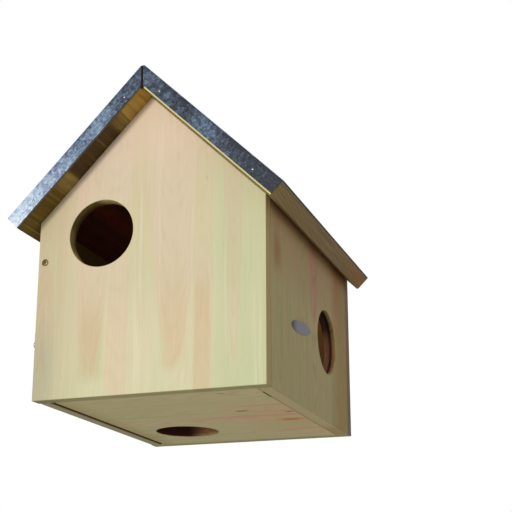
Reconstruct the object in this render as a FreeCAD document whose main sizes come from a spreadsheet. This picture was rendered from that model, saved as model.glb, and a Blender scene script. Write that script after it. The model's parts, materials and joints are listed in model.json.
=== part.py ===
import FreeCAD, Part
import os
import re

import Sketcher

# A wooden nest box with a gable roof, three round entrances and a hinged side door.
# X runs across the front, +Y towards the back, +Z up. The origin is the centre of
# the box's footprint, roof overhangs included, on the surface that it stands on.
# Lengths are in millimetres and angles in degrees.

SIZES = [
    ("bodyWidth", 250, "outside width of the front panel"),
    ("bodyDepth", 305, "front face to back face, without the roof"),
    ("wallHeight", 190, "height of the front panel at its eaves"),
    ("roofPitch", 45, "slope of each roof board"),
    ("panelThickness", 14, "front, back, side and floor boards"),
    ("roofThickness", 18, "roof boards"),
    ("frontOverhang", 25, "roof in front of the front panel"),
    ("eaveOverhang", 12.5, "roof outside the side walls, measured level"),
    ("roofBackInset", 1, "roof boards and sheet short of the back face"),
    ("ridgeFlat", 3.4, "level strip planed along the ridge"),
    ("frontHoleDiameter", 72, "entrance in the front panel"),
    ("frontHoleFromEdge", 71.5, "its centre from the left edge"),
    ("frontHoleHeight", 171, "its centre above the base"),
    ("sideHoleDiameter", 72, "entrance in the right wall"),
    ("sideHoleFromBack", 97, "its centre from the back face"),
    ("sideHoleHeight", 90, "its centre above the base"),
    ("floorHoleDiameter", 72, "entrance in the floor"),
    ("floorHoleFromEdge", 80, "its centre from the left edge"),
    ("floorHoleFromBack", 89, "its centre from the back face"),
    ("doorRecess", 0.6, "door face inside the edges of front and back"),
    ("doorEndGap", 1, "door to front panel and to back panel"),
    ("doorFloorGap", 4, "door to the floor's left edge"),
    ("doorTopGap", 4, "top of the door below the eave line"),
    ("doorBottomGap", 0.5, "bottom of the door above the base"),
    ("floorWallGap", 0.5, "floor to the right wall"),
    ("pivotDrop", 44, "door pivots below the eave line"),
    ("pivotScrewRadius", 1.75, "shank of each door pivot screw"),
    ("pivotScrewLength", 34, "each door pivot screw, head included"),
    ("pivotHeadRadius", 3.5, "countersunk head of a pivot screw"),
    ("pivotHeadDepth", 2.4, "depth of that head"),
    ("sinkGap", 0.3, "pivot screw's head to its countersink"),
    ("runningGap", 0.05, "radial play of a shank that turns in its hole"),
    ("fastenerGap", 0.03, "radial play of a fixed nail or screw"),
    ("buttonLength", 17, "turn button, end to end"),
    ("buttonWidth", 8, "turn button"),
    ("buttonThickness", 1.5, "turn button"),
    ("buttonGap", 0.3, "turn button to the panel edge and to its screw head"),
    ("buttonHeight", 60, "turn button's screw above the base"),
    ("buttonScrewRadius", 1.5, "shank of the turn button's screw"),
    ("buttonScrewLength", 22, "that shank"),
    ("buttonHeadRadius", 3.3, "its pan head"),
    ("buttonHeadDepth", 2, "its pan head"),
    ("nailRadius", 0.8, "shank of a panel nail"),
    ("nailLength", 36, "panel nail, head included"),
    ("nailHeadRadius", 1.2, "lost head of a panel nail"),
    ("nailHeadDepth", 1.6, "that head"),
    ("nailEdgeInset", 26, "first and last panel nail from the ends of a joint"),
    ("roofNailFromRidge", 48, "upper roof nail from the ridge, down the slope"),
    ("roofNailSpacing", 76, "upper to lower roof nail"),
    ("sheetThickness", 0.8, "zinc sheet"),
    ("lipDepth", 17, "turned down edge of the sheet, front and back"),
    ("lipGapTop", 1.2, "cut between the lips at the ridge, upper end"),
    ("lipGapBottom", 3.2, "the same cut, lower end"),
    ("clippedCorner", 1.2, "each lower corner of the hanger and turn button"),
    ("sheetNailRadius", 0.8, "shank of a sheet nail"),
    ("sheetNailLength", 18, "that shank"),
    ("sheetNailHeadRadius", 1.9, "flat round head of a sheet nail"),
    ("sheetNailHeadDepth", 0.7, "that head"),
    ("sheetNailFromRidge", 20, "upper sheet nail from the ridge, down the slope"),
    ("sheetNailSpacing", 142, "upper to lower sheet nail"),
    ("sheetNailFromTop", 10, "sheet nails below the top of the roof board"),
    ("plateLength", 66, "oval plate, along the wall"),
    ("plateWidth", 14, "oval plate, upright"),
    ("plateTilt", 7, "degrees that its back end is raised"),
    ("plateThickness", 0.6, "oval plate"),
    ("plateFromFront", 111, "its centre from the front face"),
    ("plateHeight", 82, "its centre above the base"),
    ("hangerDrop", 55, "centre of the hanger plate below the top of the back panel"),
    ("hangerLength", 58, "hanger plate, upright"),
    ("hangerWidth", 20, "hanger plate"),
    ("hangerThickness", 2, "hanger plate"),
    ("hangerFit", 0.2, "hanger plate to the edges of its recess"),
    ("keyholeRadius", 5, "round end of the keyhole"),
    ("keyslotRadius", 2.6, "narrow end of the keyhole"),
    ("keyholeRise", 12, "from the round end's centre to the narrow end's"),
    ("recessMargin", 2, "hollow behind the keyhole, beyond its outline"),
    ("recessDepth", 7, "hollow behind the hanger plate"),
    ("hangerScrewSpacing", 46, "between the hanger's two screws"),
    ("hangerScrewRadius", 1.5, "shank of a hanger screw"),
    ("hangerScrewLength", 10, "hanger screw, head included"),
    ("hangerHeadRadius", 3, "countersunk head of a hanger screw"),
    ("hangerHeadDepth", 1.6, "that head"),
]

doc = FreeCAD.newDocument("NestBox")
sheet = doc.addObject("Spreadsheet::Sheet", "Sizes")
for row, (alias, number, note) in enumerate(SIZES, start=1):
    sheet.set(f"A{row}", alias)
    sheet.set(f"B{row}", str(number))
    sheet.setAlias(f"B{row}", alias)
    sheet.set(f"C{row}", note)
doc.recompute()

NAMES = re.compile(r"\b(" + "|".join(alias for alias, _, _ in SIZES) + r")\b")
FACING_FRONT = FreeCAD.Rotation(FreeCAD.Vector(1, 0, 0), 90)
FACING_BACK = FreeCAD.Rotation(FreeCAD.Vector(1, 0, 0), -90)
FACING_LEFT = FreeCAD.Rotation(FreeCAD.Vector(0, 1, 0), -90)


def bound(text):
    """The text with each size read from the sheet."""
    return NAMES.sub(r"Sizes.\1", str(text))


def worth(text):
    """What such a text comes to now."""
    return float(sheet.evalExpression(bound(text)))


# Places that several pieces share, worked out from the sizes.
frontFace = "((frontOverhang + sheetNailHeadDepth - bodyDepth) / 2)"
backFace = "((frontOverhang + sheetNailHeadDepth + bodyDepth) / 2)"
roofFront = f"({frontFace} - frontOverhang)"
insideFront = f"({frontFace} + panelThickness)"
insideLength = "(bodyDepth - 2 * panelThickness)"
leftEdge = "(-bodyWidth / 2)"
rightEdge = "(bodyWidth / 2)"
wallInner = "(bodyWidth / 2 - panelThickness)"
doorOuter = "(doorRecess - bodyWidth / 2)"
doorInner = "(doorRecess + panelThickness - bodyWidth / 2)"
doorPivotX = "(doorRecess + panelThickness / 2 - bodyWidth / 2)"
doorPivotZ = "(wallHeight - pivotDrop)"
floorLeft = f"({doorInner} + doorFloorGap)"
floorRight = f"({wallInner} - floorWallGap)"
ridgeUnder = "(wallHeight + bodyWidth / 2 * tan(roofPitch))"
roofSlope = "((bodyWidth / 2 + eaveOverhang) / cos(roofPitch))"
sheetLength = "(frontOverhang + bodyDepth - roofBackInset)"
boardLength = f"({sheetLength} - 2 * sheetThickness)"
ridgeRise = "(roofThickness / cos(roofPitch) - ridgeFlat / 2 * tan(roofPitch))"
sheetNailRise = "(roofThickness - sheetNailFromTop)"
sheetNailReach = "(sheetNailLength - sheetThickness)"
hangerCentre = f"({ridgeUnder} - hangerDrop)"
keyholeDrop = "(keyholeRise / 2)"
CLEAR = "(2 * panelThickness)"


def set_place(item, x=0, y=0, z=0, turn=None, angle=None):
    """Places an object by sizes. angle, if given, is the size that turns it about turn's axis."""
    item.Placement = FreeCAD.Placement(FreeCAD.Vector(), turn or FreeCAD.Rotation())
    for axis, text in (("x", x), ("y", y), ("z", z)):
        item.setExpression(f"Placement.Base.{axis}", bound(text))
    if angle:
        item.setExpression("Placement.Rotation.Angle", bound(angle))


def new_body(label, x=0, y=0, z=0, turn=None, angle=None):
    body = doc.addObject("PartDesign::Body", "Body_" + label)
    body.Label = label
    set_place(body, x, y, z, turn, angle)
    return body


def new_sketch(body, role, x=0, y=0, z=0, turn=None, angle=None):
    """A sketch on one of the body's own planes, lifted off it where x, y, z or turn ask."""
    sketch = body.newObject("Sketcher::SketchObject", "Sketch")
    plane = [item for item in body.Origin.OriginFeatures if item.Role == role][0]
    sketch.AttachmentSupport = [(plane, "")]
    sketch.MapMode = "FlatFace"
    sketch.AttachmentOffset = FreeCAD.Placement(FreeCAD.Vector(), turn or FreeCAD.Rotation())
    for axis, text in (("x", x), ("y", y), ("z", z)):
        sketch.setExpression(f"AttachmentOffset.Base.{axis}", bound(text))
    if angle:
        sketch.setExpression("AttachmentOffset.Rotation.Angle", bound(angle))
    return sketch


def hold(sketch, kind, *where, text):
    """Adds a constraint whose value is bound to the sizes."""
    index = sketch.addConstraint(Sketcher.Constraint(kind, *where, worth(text)))
    sketch.setExpression(f"Constraints[{index}]", bound(text))


def outline(sketch, corners):
    """A closed outline of straight edges through the corners, each a pair of sizes."""
    first = sketch.GeometryCount
    count = len(corners)
    points = [FreeCAD.Vector(worth(across), worth(up), 0) for across, up in corners]
    for index in range(count):
        edge = Part.LineSegment(points[index], points[(index + 1) % count])
        sketch.addGeometry(edge, False)
    for index in range(count):
        follower = first + (index + 1) % count
        sketch.addConstraint(Sketcher.Constraint("Coincident", first + index, 2, follower, 1))
    for index, (across, up) in enumerate(corners):
        hold(sketch, "DistanceX", -1, 1, first + index, 1, text=across)
        hold(sketch, "DistanceY", -1, 1, first + index, 1, text=up)


def circles(sketch, centres, radius):
    for across, up in centres:
        centre = FreeCAD.Vector(worth(across), worth(up), 0)
        circle = Part.Circle(centre, FreeCAD.Vector(0, 0, 1), worth(radius))
        index = sketch.addGeometry(circle, False)
        hold(sketch, "Radius", index, text=radius)
        hold(sketch, "DistanceX", -1, 1, index, 3, text=across)
        hold(sketch, "DistanceY", -1, 1, index, 3, text=up)


def pad(body, sketch, length, reverse=False):
    doc.recompute()
    feature = body.newObject("PartDesign::Pad", "Pad")
    feature.Profile = sketch
    feature.Reversed = reverse
    feature.setExpression("Length", bound(length))
    doc.recompute()
    return feature


def pocket(body, sketch, depth, reverse=False):
    """Cuts into the body, and stops the script if nothing was cut."""
    doc.recompute()
    before = body.Shape.Volume
    feature = body.newObject("PartDesign::Pocket", "Pocket")
    feature.Profile = sketch
    feature.Reversed = reverse
    feature.setExpression("Length", bound(depth))
    doc.recompute()
    if not body.Shape.Volume < before - 1e-6:
        raise RuntimeError(f"a pocket in {body.Label} cuts nothing")
    return feature


def turned(label, profile):
    """A solid of revolution about its own Z axis, from (radius, height) corners on that axis."""
    body = new_body(label)
    sketch = new_sketch(body, "XZ_Plane")
    outline(sketch, profile)
    doc.recompute()
    feature = body.newObject("PartDesign::Revolution", "Revolution")
    feature.Profile = sketch
    feature.ReferenceAxis = (sketch, ["V_Axis"])
    feature.Angle = 360
    doc.recompute()
    return body


def group(label, solids):
    """One node that holds several separate solids."""
    bundle = doc.addObject("Part::Compound", "Group_" + label)
    bundle.Label = label
    bundle.Links = solids
    return bundle


def headed(label, head, depth, shank, length, sunk=False):
    """A nail or screw along its own -Z, with the top of its head at z = 0. A sunk head is a cone."""
    corners = [("0", "0"), (head, "0")]
    if not sunk:
        corners.append((head, f"-({depth})"))
    corners += [(shank, f"-({depth})"), (shank, f"-({length})"), ("0", f"-({length})")]
    return turned(label, corners)


def along(first, last, inset, count):
    """Places spread evenly from inset past first to inset short of last."""
    step = f"(({last}) - ({first}) - 2 * {inset}) / {count - 1}"
    return [f"({first}) + {inset} + {index} * {step}" for index in range(count)]


def down_the_slope(side, along_slope, off_slope):
    """The X and Z of a point of a roof board, from its place along the slope and off its underside."""
    across = f"{side} * (({along_slope}) * cos(roofPitch) + ({off_slope}) * sin(roofPitch))"
    up = f"{ridgeUnder} - ({along_slope}) * sin(roofPitch) + ({off_slope}) * cos(roofPitch)"
    return across, up


def tilt(side):
    """Turns +Z to the right (1) or left (-1), towards a roof board's upper face."""
    return FreeCAD.Rotation(FreeCAD.Vector(0, side, 0), worth("roofPitch"))


wallNails = [(f"({rightEdge} - panelThickness / 2)", height) for height in
             along("0", "wallHeight", "nailEdgeInset", 3)]
floorNails = [(across, "(panelThickness / 2)") for across in
              along(floorLeft, floorRight, "nailEdgeInset", 3)]
panelNails = wallNails + floorNails
roofNailPlaces = ["roofNailFromRidge", "(roofNailFromRidge + roofNailSpacing)"]
sheetNailPlaces = ["sheetNailFromRidge", "(sheetNailFromRidge + sheetNailSpacing)"]
hangerScrewPlaces = ["(-hangerScrewSpacing / 2)", "(hangerScrewSpacing / 2)"]


def end_panel(label, face, inward):
    """The front (inward 1) or back (inward -1) panel, with the holes that both of them have."""
    front = inward > 0
    body = new_body(label, y=face)
    sketch = new_sketch(body, "XZ_Plane")
    outline(sketch, [
        (leftEdge, "0"),
        (rightEdge, "0"),
        (rightEdge, "wallHeight"),
        ("0", ridgeUnder),
        (leftEdge, "wallHeight"),
    ])
    pad(body, sketch, "panelThickness", reverse=front)

    # Each door pivot screw turns in a hole with a countersink.
    sketch = new_sketch(body, "XY_Plane", x=doorPivotX, z=doorPivotZ)
    outline(sketch, [
        ("0", f"{-inward} * panelThickness"),
        ("pivotHeadRadius + sinkGap", f"{-inward} * panelThickness"),
        ("pivotHeadRadius + sinkGap", "0"),
        ("pivotScrewRadius + runningGap", f"{inward} * (pivotHeadDepth + sinkGap)"),
        ("pivotScrewRadius + runningGap", f"{inward} * {CLEAR}"),
        ("0", f"{inward} * {CLEAR}"),
    ])
    groove(body, sketch)

    sketch = new_sketch(body, "XZ_Plane")
    circles(sketch, panelNails, "nailHeadRadius + fastenerGap")
    pocket(body, sketch, "nailHeadDepth", reverse=not front)
    sketch = new_sketch(body, "XZ_Plane")
    circles(sketch, panelNails, "nailRadius + fastenerGap")
    pocket(body, sketch, CLEAR, reverse=not front)

    for side in (-1, 1):
        sketch = new_sketch(body, "XY_Plane", z=ridgeUnder, turn=tilt(side), angle="roofPitch")
        middle = f"{inward} * panelThickness / 2"
        circles(sketch, [(f"{side} * {place}", middle) for place in roofNailPlaces],
                "nailRadius + fastenerGap")
        pocket(body, sketch, "nailLength - roofThickness")
    return body


def groove(body, sketch):
    """Cuts a turned shape about the sketch's upright axis, and stops if nothing was cut."""
    doc.recompute()
    before = body.Shape.Volume
    feature = body.newObject("PartDesign::Groove", "Groove")
    feature.Profile = sketch
    feature.ReferenceAxis = (sketch, ["V_Axis"])
    feature.Angle = 360
    doc.recompute()
    if not body.Shape.Volume < before - 1e-6:
        raise RuntimeError(f"a groove in {body.Label} cuts nothing")


def end_holes(body, length, centres, radius, depth):
    """Blind holes into both ends of a board that runs from its own y = 0 to its length."""
    sketch = new_sketch(body, "XZ_Plane")
    circles(sketch, centres, radius)
    pocket(body, sketch, depth)
    sketch = new_sketch(body, "XZ_Plane", z=f"-({length})")
    circles(sketch, centres, radius)
    pocket(body, sketch, depth, reverse=True)


def make_front_panel():
    body = end_panel("front_panel", frontFace, 1)
    sketch = new_sketch(body, "XZ_Plane")
    circles(sketch, [(f"{leftEdge} + frontHoleFromEdge", "frontHoleHeight")],
            "frontHoleDiameter / 2")
    pocket(body, sketch, CLEAR)

    # The turn button's screw goes into the panel's left edge.
    sketch = new_sketch(body, "YZ_Plane", z=leftEdge)
    circles(sketch, [("panelThickness / 2", "buttonHeight")], "buttonScrewRadius + fastenerGap")
    pocket(body, sketch, "buttonScrewLength - 2 * buttonGap - buttonThickness", reverse=True)
    return body


def make_back_panel():
    body = end_panel("back_panel", backFace, -1)

    # The hanger plate lies flush in a recess, with a hollow behind its keyhole.
    halfWidth = "(hangerWidth / 2 + hangerFit)"
    halfLength = "(hangerLength / 2 + hangerFit)"
    sketch = new_sketch(body, "XZ_Plane")
    outline(sketch, [
        (f"-{halfWidth}", f"{hangerCentre} - {halfLength}"),
        (halfWidth, f"{hangerCentre} - {halfLength}"),
        (halfWidth, f"{hangerCentre} + {halfLength}"),
        (f"-{halfWidth}", f"{hangerCentre} + {halfLength}"),
    ])
    pocket(body, sketch, "hangerThickness", reverse=True)

    halfHollow = "(keyholeRadius + recessMargin)"
    hollowFoot = f"({hangerCentre} - {keyholeDrop} - {halfHollow})"
    hollowHead = f"({hangerCentre} + {keyholeDrop} + keyslotRadius + recessMargin)"
    sketch = new_sketch(body, "XZ_Plane")
    outline(sketch, [
        (f"-{halfHollow}", hollowFoot),
        (halfHollow, hollowFoot),
        (halfHollow, hollowHead),
        (f"-{halfHollow}", hollowHead),
    ])
    pocket(body, sketch, "hangerThickness + recessDepth", reverse=True)

    sketch = new_sketch(body, "XZ_Plane")
    circles(sketch, [("0", f"{hangerCentre} + {place}") for place in hangerScrewPlaces],
            "hangerScrewRadius + fastenerGap")
    pocket(body, sketch, "hangerScrewLength", reverse=True)
    return body


def make_right_wall():
    body = new_body("right_wall", y=insideFront)
    sketch = new_sketch(body, "XZ_Plane")
    outline(sketch, [
        (wallInner, "0"),
        (rightEdge, "0"),
        (rightEdge, "wallHeight"),
        (wallInner, "wallHeight + panelThickness * tan(roofPitch)"),
    ])
    pad(body, sketch, insideLength, reverse=True)
    sketch = new_sketch(body, "YZ_Plane")
    circles(sketch, [("bodyDepth - panelThickness - sideHoleFromBack", "sideHoleHeight")],
            "sideHoleDiameter / 2")
    pocket(body, sketch, "bodyWidth", reverse=True)
    end_holes(body, insideLength, wallNails, "nailRadius + fastenerGap",
              "nailLength - panelThickness")
    return body


def make_floor_board():
    body = new_body("floor_board", y=insideFront)
    sketch = new_sketch(body, "XZ_Plane")
    outline(sketch, [
        (floorLeft, "0"),
        (floorRight, "0"),
        (floorRight, "panelThickness"),
        (floorLeft, "panelThickness"),
    ])
    pad(body, sketch, insideLength, reverse=True)
    sketch = new_sketch(body, "XY_Plane")
    circles(sketch, [(f"{leftEdge} + floorHoleFromEdge",
                      "bodyDepth - panelThickness - floorHoleFromBack")],
            "floorHoleDiameter / 2")
    pocket(body, sketch, CLEAR, reverse=True)
    end_holes(body, insideLength, floorNails, "nailRadius + fastenerGap",
              "nailLength - panelThickness")
    return body


def make_cleaning_door():
    """The left wall, hung on a screw through the front panel and one through the back panel."""
    body = new_body("cleaning_door", y=f"{insideFront} + doorEndGap")
    length = f"({insideLength} - 2 * doorEndGap)"
    top = "(wallHeight - doorTopGap)"
    sketch = new_sketch(body, "XZ_Plane")
    outline(sketch, [
        (doorOuter, "doorBottomGap"),
        (doorInner, "doorBottomGap"),
        (doorInner, top),
        (doorOuter, top),
    ])
    pad(body, sketch, length, reverse=True)
    end_holes(body, length, [(doorPivotX, doorPivotZ)], "pivotScrewRadius + fastenerGap",
              "pivotScrewLength - panelThickness - doorEndGap")
    return body


def make_roof_board(label, side):
    """Drawn lying on its underside, with +X away from the ridge on the right board."""
    body = new_body(label, y=f"{roofFront} + sheetThickness", z=ridgeUnder,
                    turn=tilt(side), angle="roofPitch")
    sketch = new_sketch(body, "XZ_Plane")
    flatEnd = "((ridgeFlat / 2 - roofThickness * sin(roofPitch)) / cos(roofPitch))"
    outline(sketch, [
        ("0", "0"),
        (f"{side} * {roofSlope}", "0"),
        (f"{side} * {roofSlope}", "roofThickness"),
        (f"{side} * {flatEnd}", "roofThickness"),
        (f"{-side} * {ridgeRise} * sin(roofPitch)", f"{ridgeRise} * cos(roofPitch)"),
    ])
    pad(body, sketch, boardLength, reverse=True)

    overPanels = [
        "(frontOverhang - sheetThickness + panelThickness / 2)",
        "(frontOverhang - sheetThickness + bodyDepth - panelThickness / 2)",
    ]
    centres = [(f"{side} * {place}", panel) for place in roofNailPlaces for panel in overPanels]
    sketch = new_sketch(body, "XY_Plane", z="roofThickness")
    circles(sketch, centres, "nailHeadRadius + fastenerGap")
    pocket(body, sketch, "nailHeadDepth")
    sketch = new_sketch(body, "XY_Plane", z="roofThickness")
    circles(sketch, centres, "nailRadius + fastenerGap")
    pocket(body, sketch, "2 * roofThickness")

    end_holes(body, boardLength, [(f"{side} * {place}", sheetNailRise) for place in sheetNailPlaces],
              "sheetNailRadius + fastenerGap", sheetNailReach)
    return body


def make_roof_sheet():
    """One zinc sheet folded over the ridge, with its front and back edges turned down as lips."""
    body = new_body("roof_sheet", y=roofFront)
    overTop = "(roofThickness + sheetThickness)"
    foldHalf = "(ridgeFlat / 2 + sheetThickness * tan(roofPitch / 2))"
    innerRidge = f"({ridgeUnder} + {ridgeRise})"
    outerRidge = f"({innerRidge} + sheetThickness)"
    lipFoot = "(roofThickness + sheetThickness - lipDepth)"
    eave = {side: down_the_slope(side, roofSlope, overTop) for side in (-1, 1)}
    under = {side: down_the_slope(side, roofSlope, "roofThickness") for side in (-1, 1)}
    foot = {side: down_the_slope(side, roofSlope, lipFoot) for side in (-1, 1)}

    sketch = new_sketch(body, "XZ_Plane")
    outline(sketch, [
        eave[-1],
        (f"-{foldHalf}", outerRidge),
        (foldHalf, outerRidge),
        eave[1],
        under[1],
        ("ridgeFlat / 2", innerRidge),
        ("-ridgeFlat / 2", innerRidge),
        under[-1],
    ])
    pad(body, sketch, sheetLength, reverse=True)

    footRidge = f"({ridgeUnder} + {lipFoot} / cos(roofPitch) - lipGapBottom / 2 * tan(roofPitch))"
    nails = [down_the_slope(side, place, sheetNailRise)
             for side in (-1, 1) for place in sheetNailPlaces]
    for offset, atFront in (("0", True), (f"-{sheetLength}", False)):
        sketch = new_sketch(body, "XZ_Plane", z=offset)
        for side in (-1, 1):
            outline(sketch, [
                (f"{side} * lipGapTop / 2", outerRidge),
                (f"{side} * {foldHalf}", outerRidge),
                eave[side],
                foot[side],
                (f"{side} * lipGapBottom / 2", footRidge),
            ])
        pad(body, sketch, "sheetThickness", reverse=atFront)
        sketch = new_sketch(body, "XZ_Plane", z=offset)
        circles(sketch, nails, "sheetNailRadius + fastenerGap")
        pocket(body, sketch, "sheetThickness", reverse=not atFront)
    return body


def make_oval_plate():
    """A bare oval plate on the right wall, its back end a little raised."""
    ellipse = doc.addObject("Part::Ellipse", "OvalOutline")
    ellipse.setExpression("MajorRadius", bound("plateLength / 2"))
    ellipse.setExpression("MinorRadius", bound("plateWidth / 2"))
    set_place(ellipse, angle="plateTilt")
    plate = doc.addObject("Part::Extrusion", "Oval")
    plate.Label = "oval_plate"
    plate.Base = ellipse
    plate.DirMode = "Normal"
    plate.Solid = True
    plate.setExpression("LengthFwd", bound("plateThickness"))
    facingRight = FreeCAD.Rotation(FreeCAD.Vector(1, 1, 1), 120)
    set_place(plate, rightEdge, f"{frontFace} + plateFromFront", "plateHeight", facingRight)
    return plate


def clipped(halfWidth, foot, head):
    """An upright rectangle with clipped corners."""
    corner = "clippedCorner"
    return [
        (f"-{halfWidth} + {corner}", foot),
        (f"{halfWidth} - {corner}", foot),
        (halfWidth, f"{foot} + {corner}"),
        (halfWidth, f"{head} - {corner}"),
        (f"{halfWidth} - {corner}", head),
        (f"-{halfWidth} + {corner}", head),
        (f"-{halfWidth}", f"{head} - {corner}"),
        (f"-{halfWidth}", f"{foot} + {corner}"),
    ]


def make_turn_button():
    """Stands upright on the front panel's left edge. Turned a quarter, it covers the door's edge."""
    body = new_body("turn_button", f"{leftEdge} - buttonGap - buttonThickness",
                    f"{frontFace} + panelThickness / 2", "buttonHeight")
    sketch = new_sketch(body, "YZ_Plane")
    outline(sketch, clipped("(buttonWidth / 2)", "(-buttonWidth / 2)",
                            "(buttonLength - buttonWidth / 2)"))
    pad(body, sketch, "buttonThickness")
    sketch = new_sketch(body, "YZ_Plane")
    circles(sketch, [("0", "0")], "buttonScrewRadius + runningGap")
    pocket(body, sketch, "buttonThickness", reverse=True)
    return body


def make_turn_button_screw():
    screw = headed("turn_button_screw", "buttonHeadRadius", "buttonHeadDepth",
                   "buttonScrewRadius", "(buttonHeadDepth + buttonScrewLength)")
    set_place(screw, f"{leftEdge} - 2 * buttonGap - buttonThickness - buttonHeadDepth",
              f"{frontFace} + panelThickness / 2", "buttonHeight", FACING_LEFT)
    return screw


def make_pivot_screw(label, face, facing):
    screw = headed(label, "pivotHeadRadius", "pivotHeadDepth", "pivotScrewRadius",
                   "pivotScrewLength", sunk=True)
    set_place(screw, doorPivotX, face, doorPivotZ, facing)
    return screw


def make_panel_nails(label, face, facing):
    nails = []
    for index, (across, up) in enumerate(panelNails):
        nail = headed(f"{label}_{index + 1}", "nailHeadRadius", "nailHeadDepth", "nailRadius",
                      "nailLength")
        set_place(nail, across, face, up, facing)
        nails.append(nail)
    return group(label, nails)


def make_roof_nails(label, side):
    nails = []
    for panel in (f"{frontFace} + panelThickness / 2", f"{backFace} - panelThickness / 2"):
        for place in roofNailPlaces:
            nail = headed(f"{label}_{len(nails) + 1}", "nailHeadRadius", "nailHeadDepth",
                          "nailRadius", "nailLength")
            across, up = down_the_slope(side, place, "roofThickness")
            set_place(nail, across, panel, up, tilt(side), "roofPitch")
            nails.append(nail)
    return group(label, nails)


def make_sheet_nails(label, face, facing):
    nails = []
    for side in (-1, 1):
        for place in sheetNailPlaces:
            nail = headed(f"{label}_{len(nails) + 1}", "sheetNailHeadRadius",
                          "sheetNailHeadDepth", "sheetNailRadius",
                          "(sheetNailHeadDepth + sheetNailLength)")
            across, up = down_the_slope(side, place, sheetNailRise)
            set_place(nail, across, face, up, facing)
            nails.append(nail)
    return group(label, nails)


def make_hanger_plate():
    body = new_body("hanger_plate", y=backFace, z=hangerCentre)
    sketch = new_sketch(body, "XZ_Plane")
    outline(sketch, clipped("(hangerWidth / 2)", "(-hangerLength / 2)", "(hangerLength / 2)"))
    pad(body, sketch, "hangerThickness")
    sketch = new_sketch(body, "XZ_Plane")
    circles(sketch, [("0", f"-{keyholeDrop}")], "keyholeRadius")
    pocket(body, sketch, "hangerThickness", reverse=True)
    sketch = new_sketch(body, "XZ_Plane")
    outline(sketch, [
        ("-keyslotRadius", f"-{keyholeDrop}"),
        ("keyslotRadius", f"-{keyholeDrop}"),
        ("keyslotRadius", keyholeDrop),
        ("-keyslotRadius", keyholeDrop),
    ])
    pocket(body, sketch, "hangerThickness", reverse=True)
    sketch = new_sketch(body, "XZ_Plane")
    circles(sketch, [("0", keyholeDrop)], "keyslotRadius")
    pocket(body, sketch, "hangerThickness", reverse=True)
    for place in hangerScrewPlaces:
        sketch = new_sketch(body, "XY_Plane", z=place)
        outline(sketch, [
            ("0", "hangerThickness"),
            ("hangerHeadRadius + fastenerGap", "hangerThickness"),
            ("hangerHeadRadius + fastenerGap", "0"),
            ("hangerScrewRadius + fastenerGap", "-hangerHeadDepth"),
            ("hangerScrewRadius + fastenerGap", "-2 * hangerThickness"),
            ("0", "-2 * hangerThickness"),
        ])
        groove(body, sketch)
    return body


def make_hanger_screws():
    screws = []
    for place in hangerScrewPlaces:
        screw = headed(f"hanger_screw_{len(screws) + 1}", "hangerHeadRadius",
                       "hangerHeadDepth", "hangerScrewRadius", "hangerScrewLength", sunk=True)
        set_place(screw, "0", backFace, f"{hangerCentre} + {place}", FACING_BACK)
        screws.append(screw)
    return group("hanger_screws", screws)


nodes = [
    make_front_panel(),
    make_back_panel(),
    make_right_wall(),
    make_cleaning_door(),
    make_floor_board(),
    make_roof_board("left_roof_board", -1),
    make_roof_board("right_roof_board", 1),
    make_roof_sheet(),
    make_oval_plate(),
    make_turn_button(),
    make_turn_button_screw(),
    make_pivot_screw("front_pivot_screw", frontFace, FACING_FRONT),
    make_pivot_screw("back_pivot_screw", backFace, FACING_BACK),
    make_panel_nails("front_panel_nails", frontFace, FACING_FRONT),
    make_panel_nails("back_panel_nails", backFace, FACING_BACK),
    make_roof_nails("left_roof_nails", -1),
    make_roof_nails("right_roof_nails", 1),
    make_sheet_nails("front_sheet_nails", f"{roofFront} - sheetNailHeadDepth", FACING_FRONT),
    make_sheet_nails("back_sheet_nails", f"{roofFront} + {sheetLength} + sheetNailHeadDepth",
                     FACING_BACK),
    make_hanger_plate(),
    make_hanger_screws(),
]
doc.recompute()

for item in doc.Objects:
    if {"Invalid", "Error"} & set(item.State):
        raise RuntimeError(f"{item.Label} failed: {item.State}")
for node in nodes:
    if node.Shape.isNull() or not node.Shape.isValid():
        raise RuntimeError(f"{node.Label} has no valid shape")

os.makedirs("parts", exist_ok=True)
for node in nodes:
    node.Shape.exportStep(f"parts/{node.Label}.step")
    solids = len(node.Shape.Solids)
    print(f"{node.Label}: {solids} solid(s), {node.Shape.Volume / 1000:.2f} cm3")
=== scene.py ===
import json
import math
from functools import partial

import bmesh
import bpy
from mathutils import Matrix, Vector, noise


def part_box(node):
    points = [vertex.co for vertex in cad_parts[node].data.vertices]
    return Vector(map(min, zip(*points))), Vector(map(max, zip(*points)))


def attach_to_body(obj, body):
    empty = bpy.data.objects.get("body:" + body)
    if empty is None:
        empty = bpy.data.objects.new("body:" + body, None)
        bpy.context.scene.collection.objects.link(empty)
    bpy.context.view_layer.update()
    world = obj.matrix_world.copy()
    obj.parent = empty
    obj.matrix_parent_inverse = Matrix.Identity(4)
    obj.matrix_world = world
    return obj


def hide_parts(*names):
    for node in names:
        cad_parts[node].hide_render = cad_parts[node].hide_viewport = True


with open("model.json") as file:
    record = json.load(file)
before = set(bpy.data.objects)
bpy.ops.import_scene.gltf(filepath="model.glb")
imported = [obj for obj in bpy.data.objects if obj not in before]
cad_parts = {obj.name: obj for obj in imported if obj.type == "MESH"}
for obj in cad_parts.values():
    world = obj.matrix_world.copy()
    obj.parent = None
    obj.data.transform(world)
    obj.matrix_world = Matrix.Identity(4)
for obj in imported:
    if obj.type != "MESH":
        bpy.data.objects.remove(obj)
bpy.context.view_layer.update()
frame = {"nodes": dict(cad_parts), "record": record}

# A pine nest box with a zinc roof, three round entrances and a door that swings on two screws.
# X runs across the front, +Y towards the back, +Z up, in metres. Sizes in the dictionaries are in mm.

mm = 0.001
mergeWithin = 1e-7        # metres
print("frame loaded:", len(frame["nodes"]), "nodes")


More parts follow.
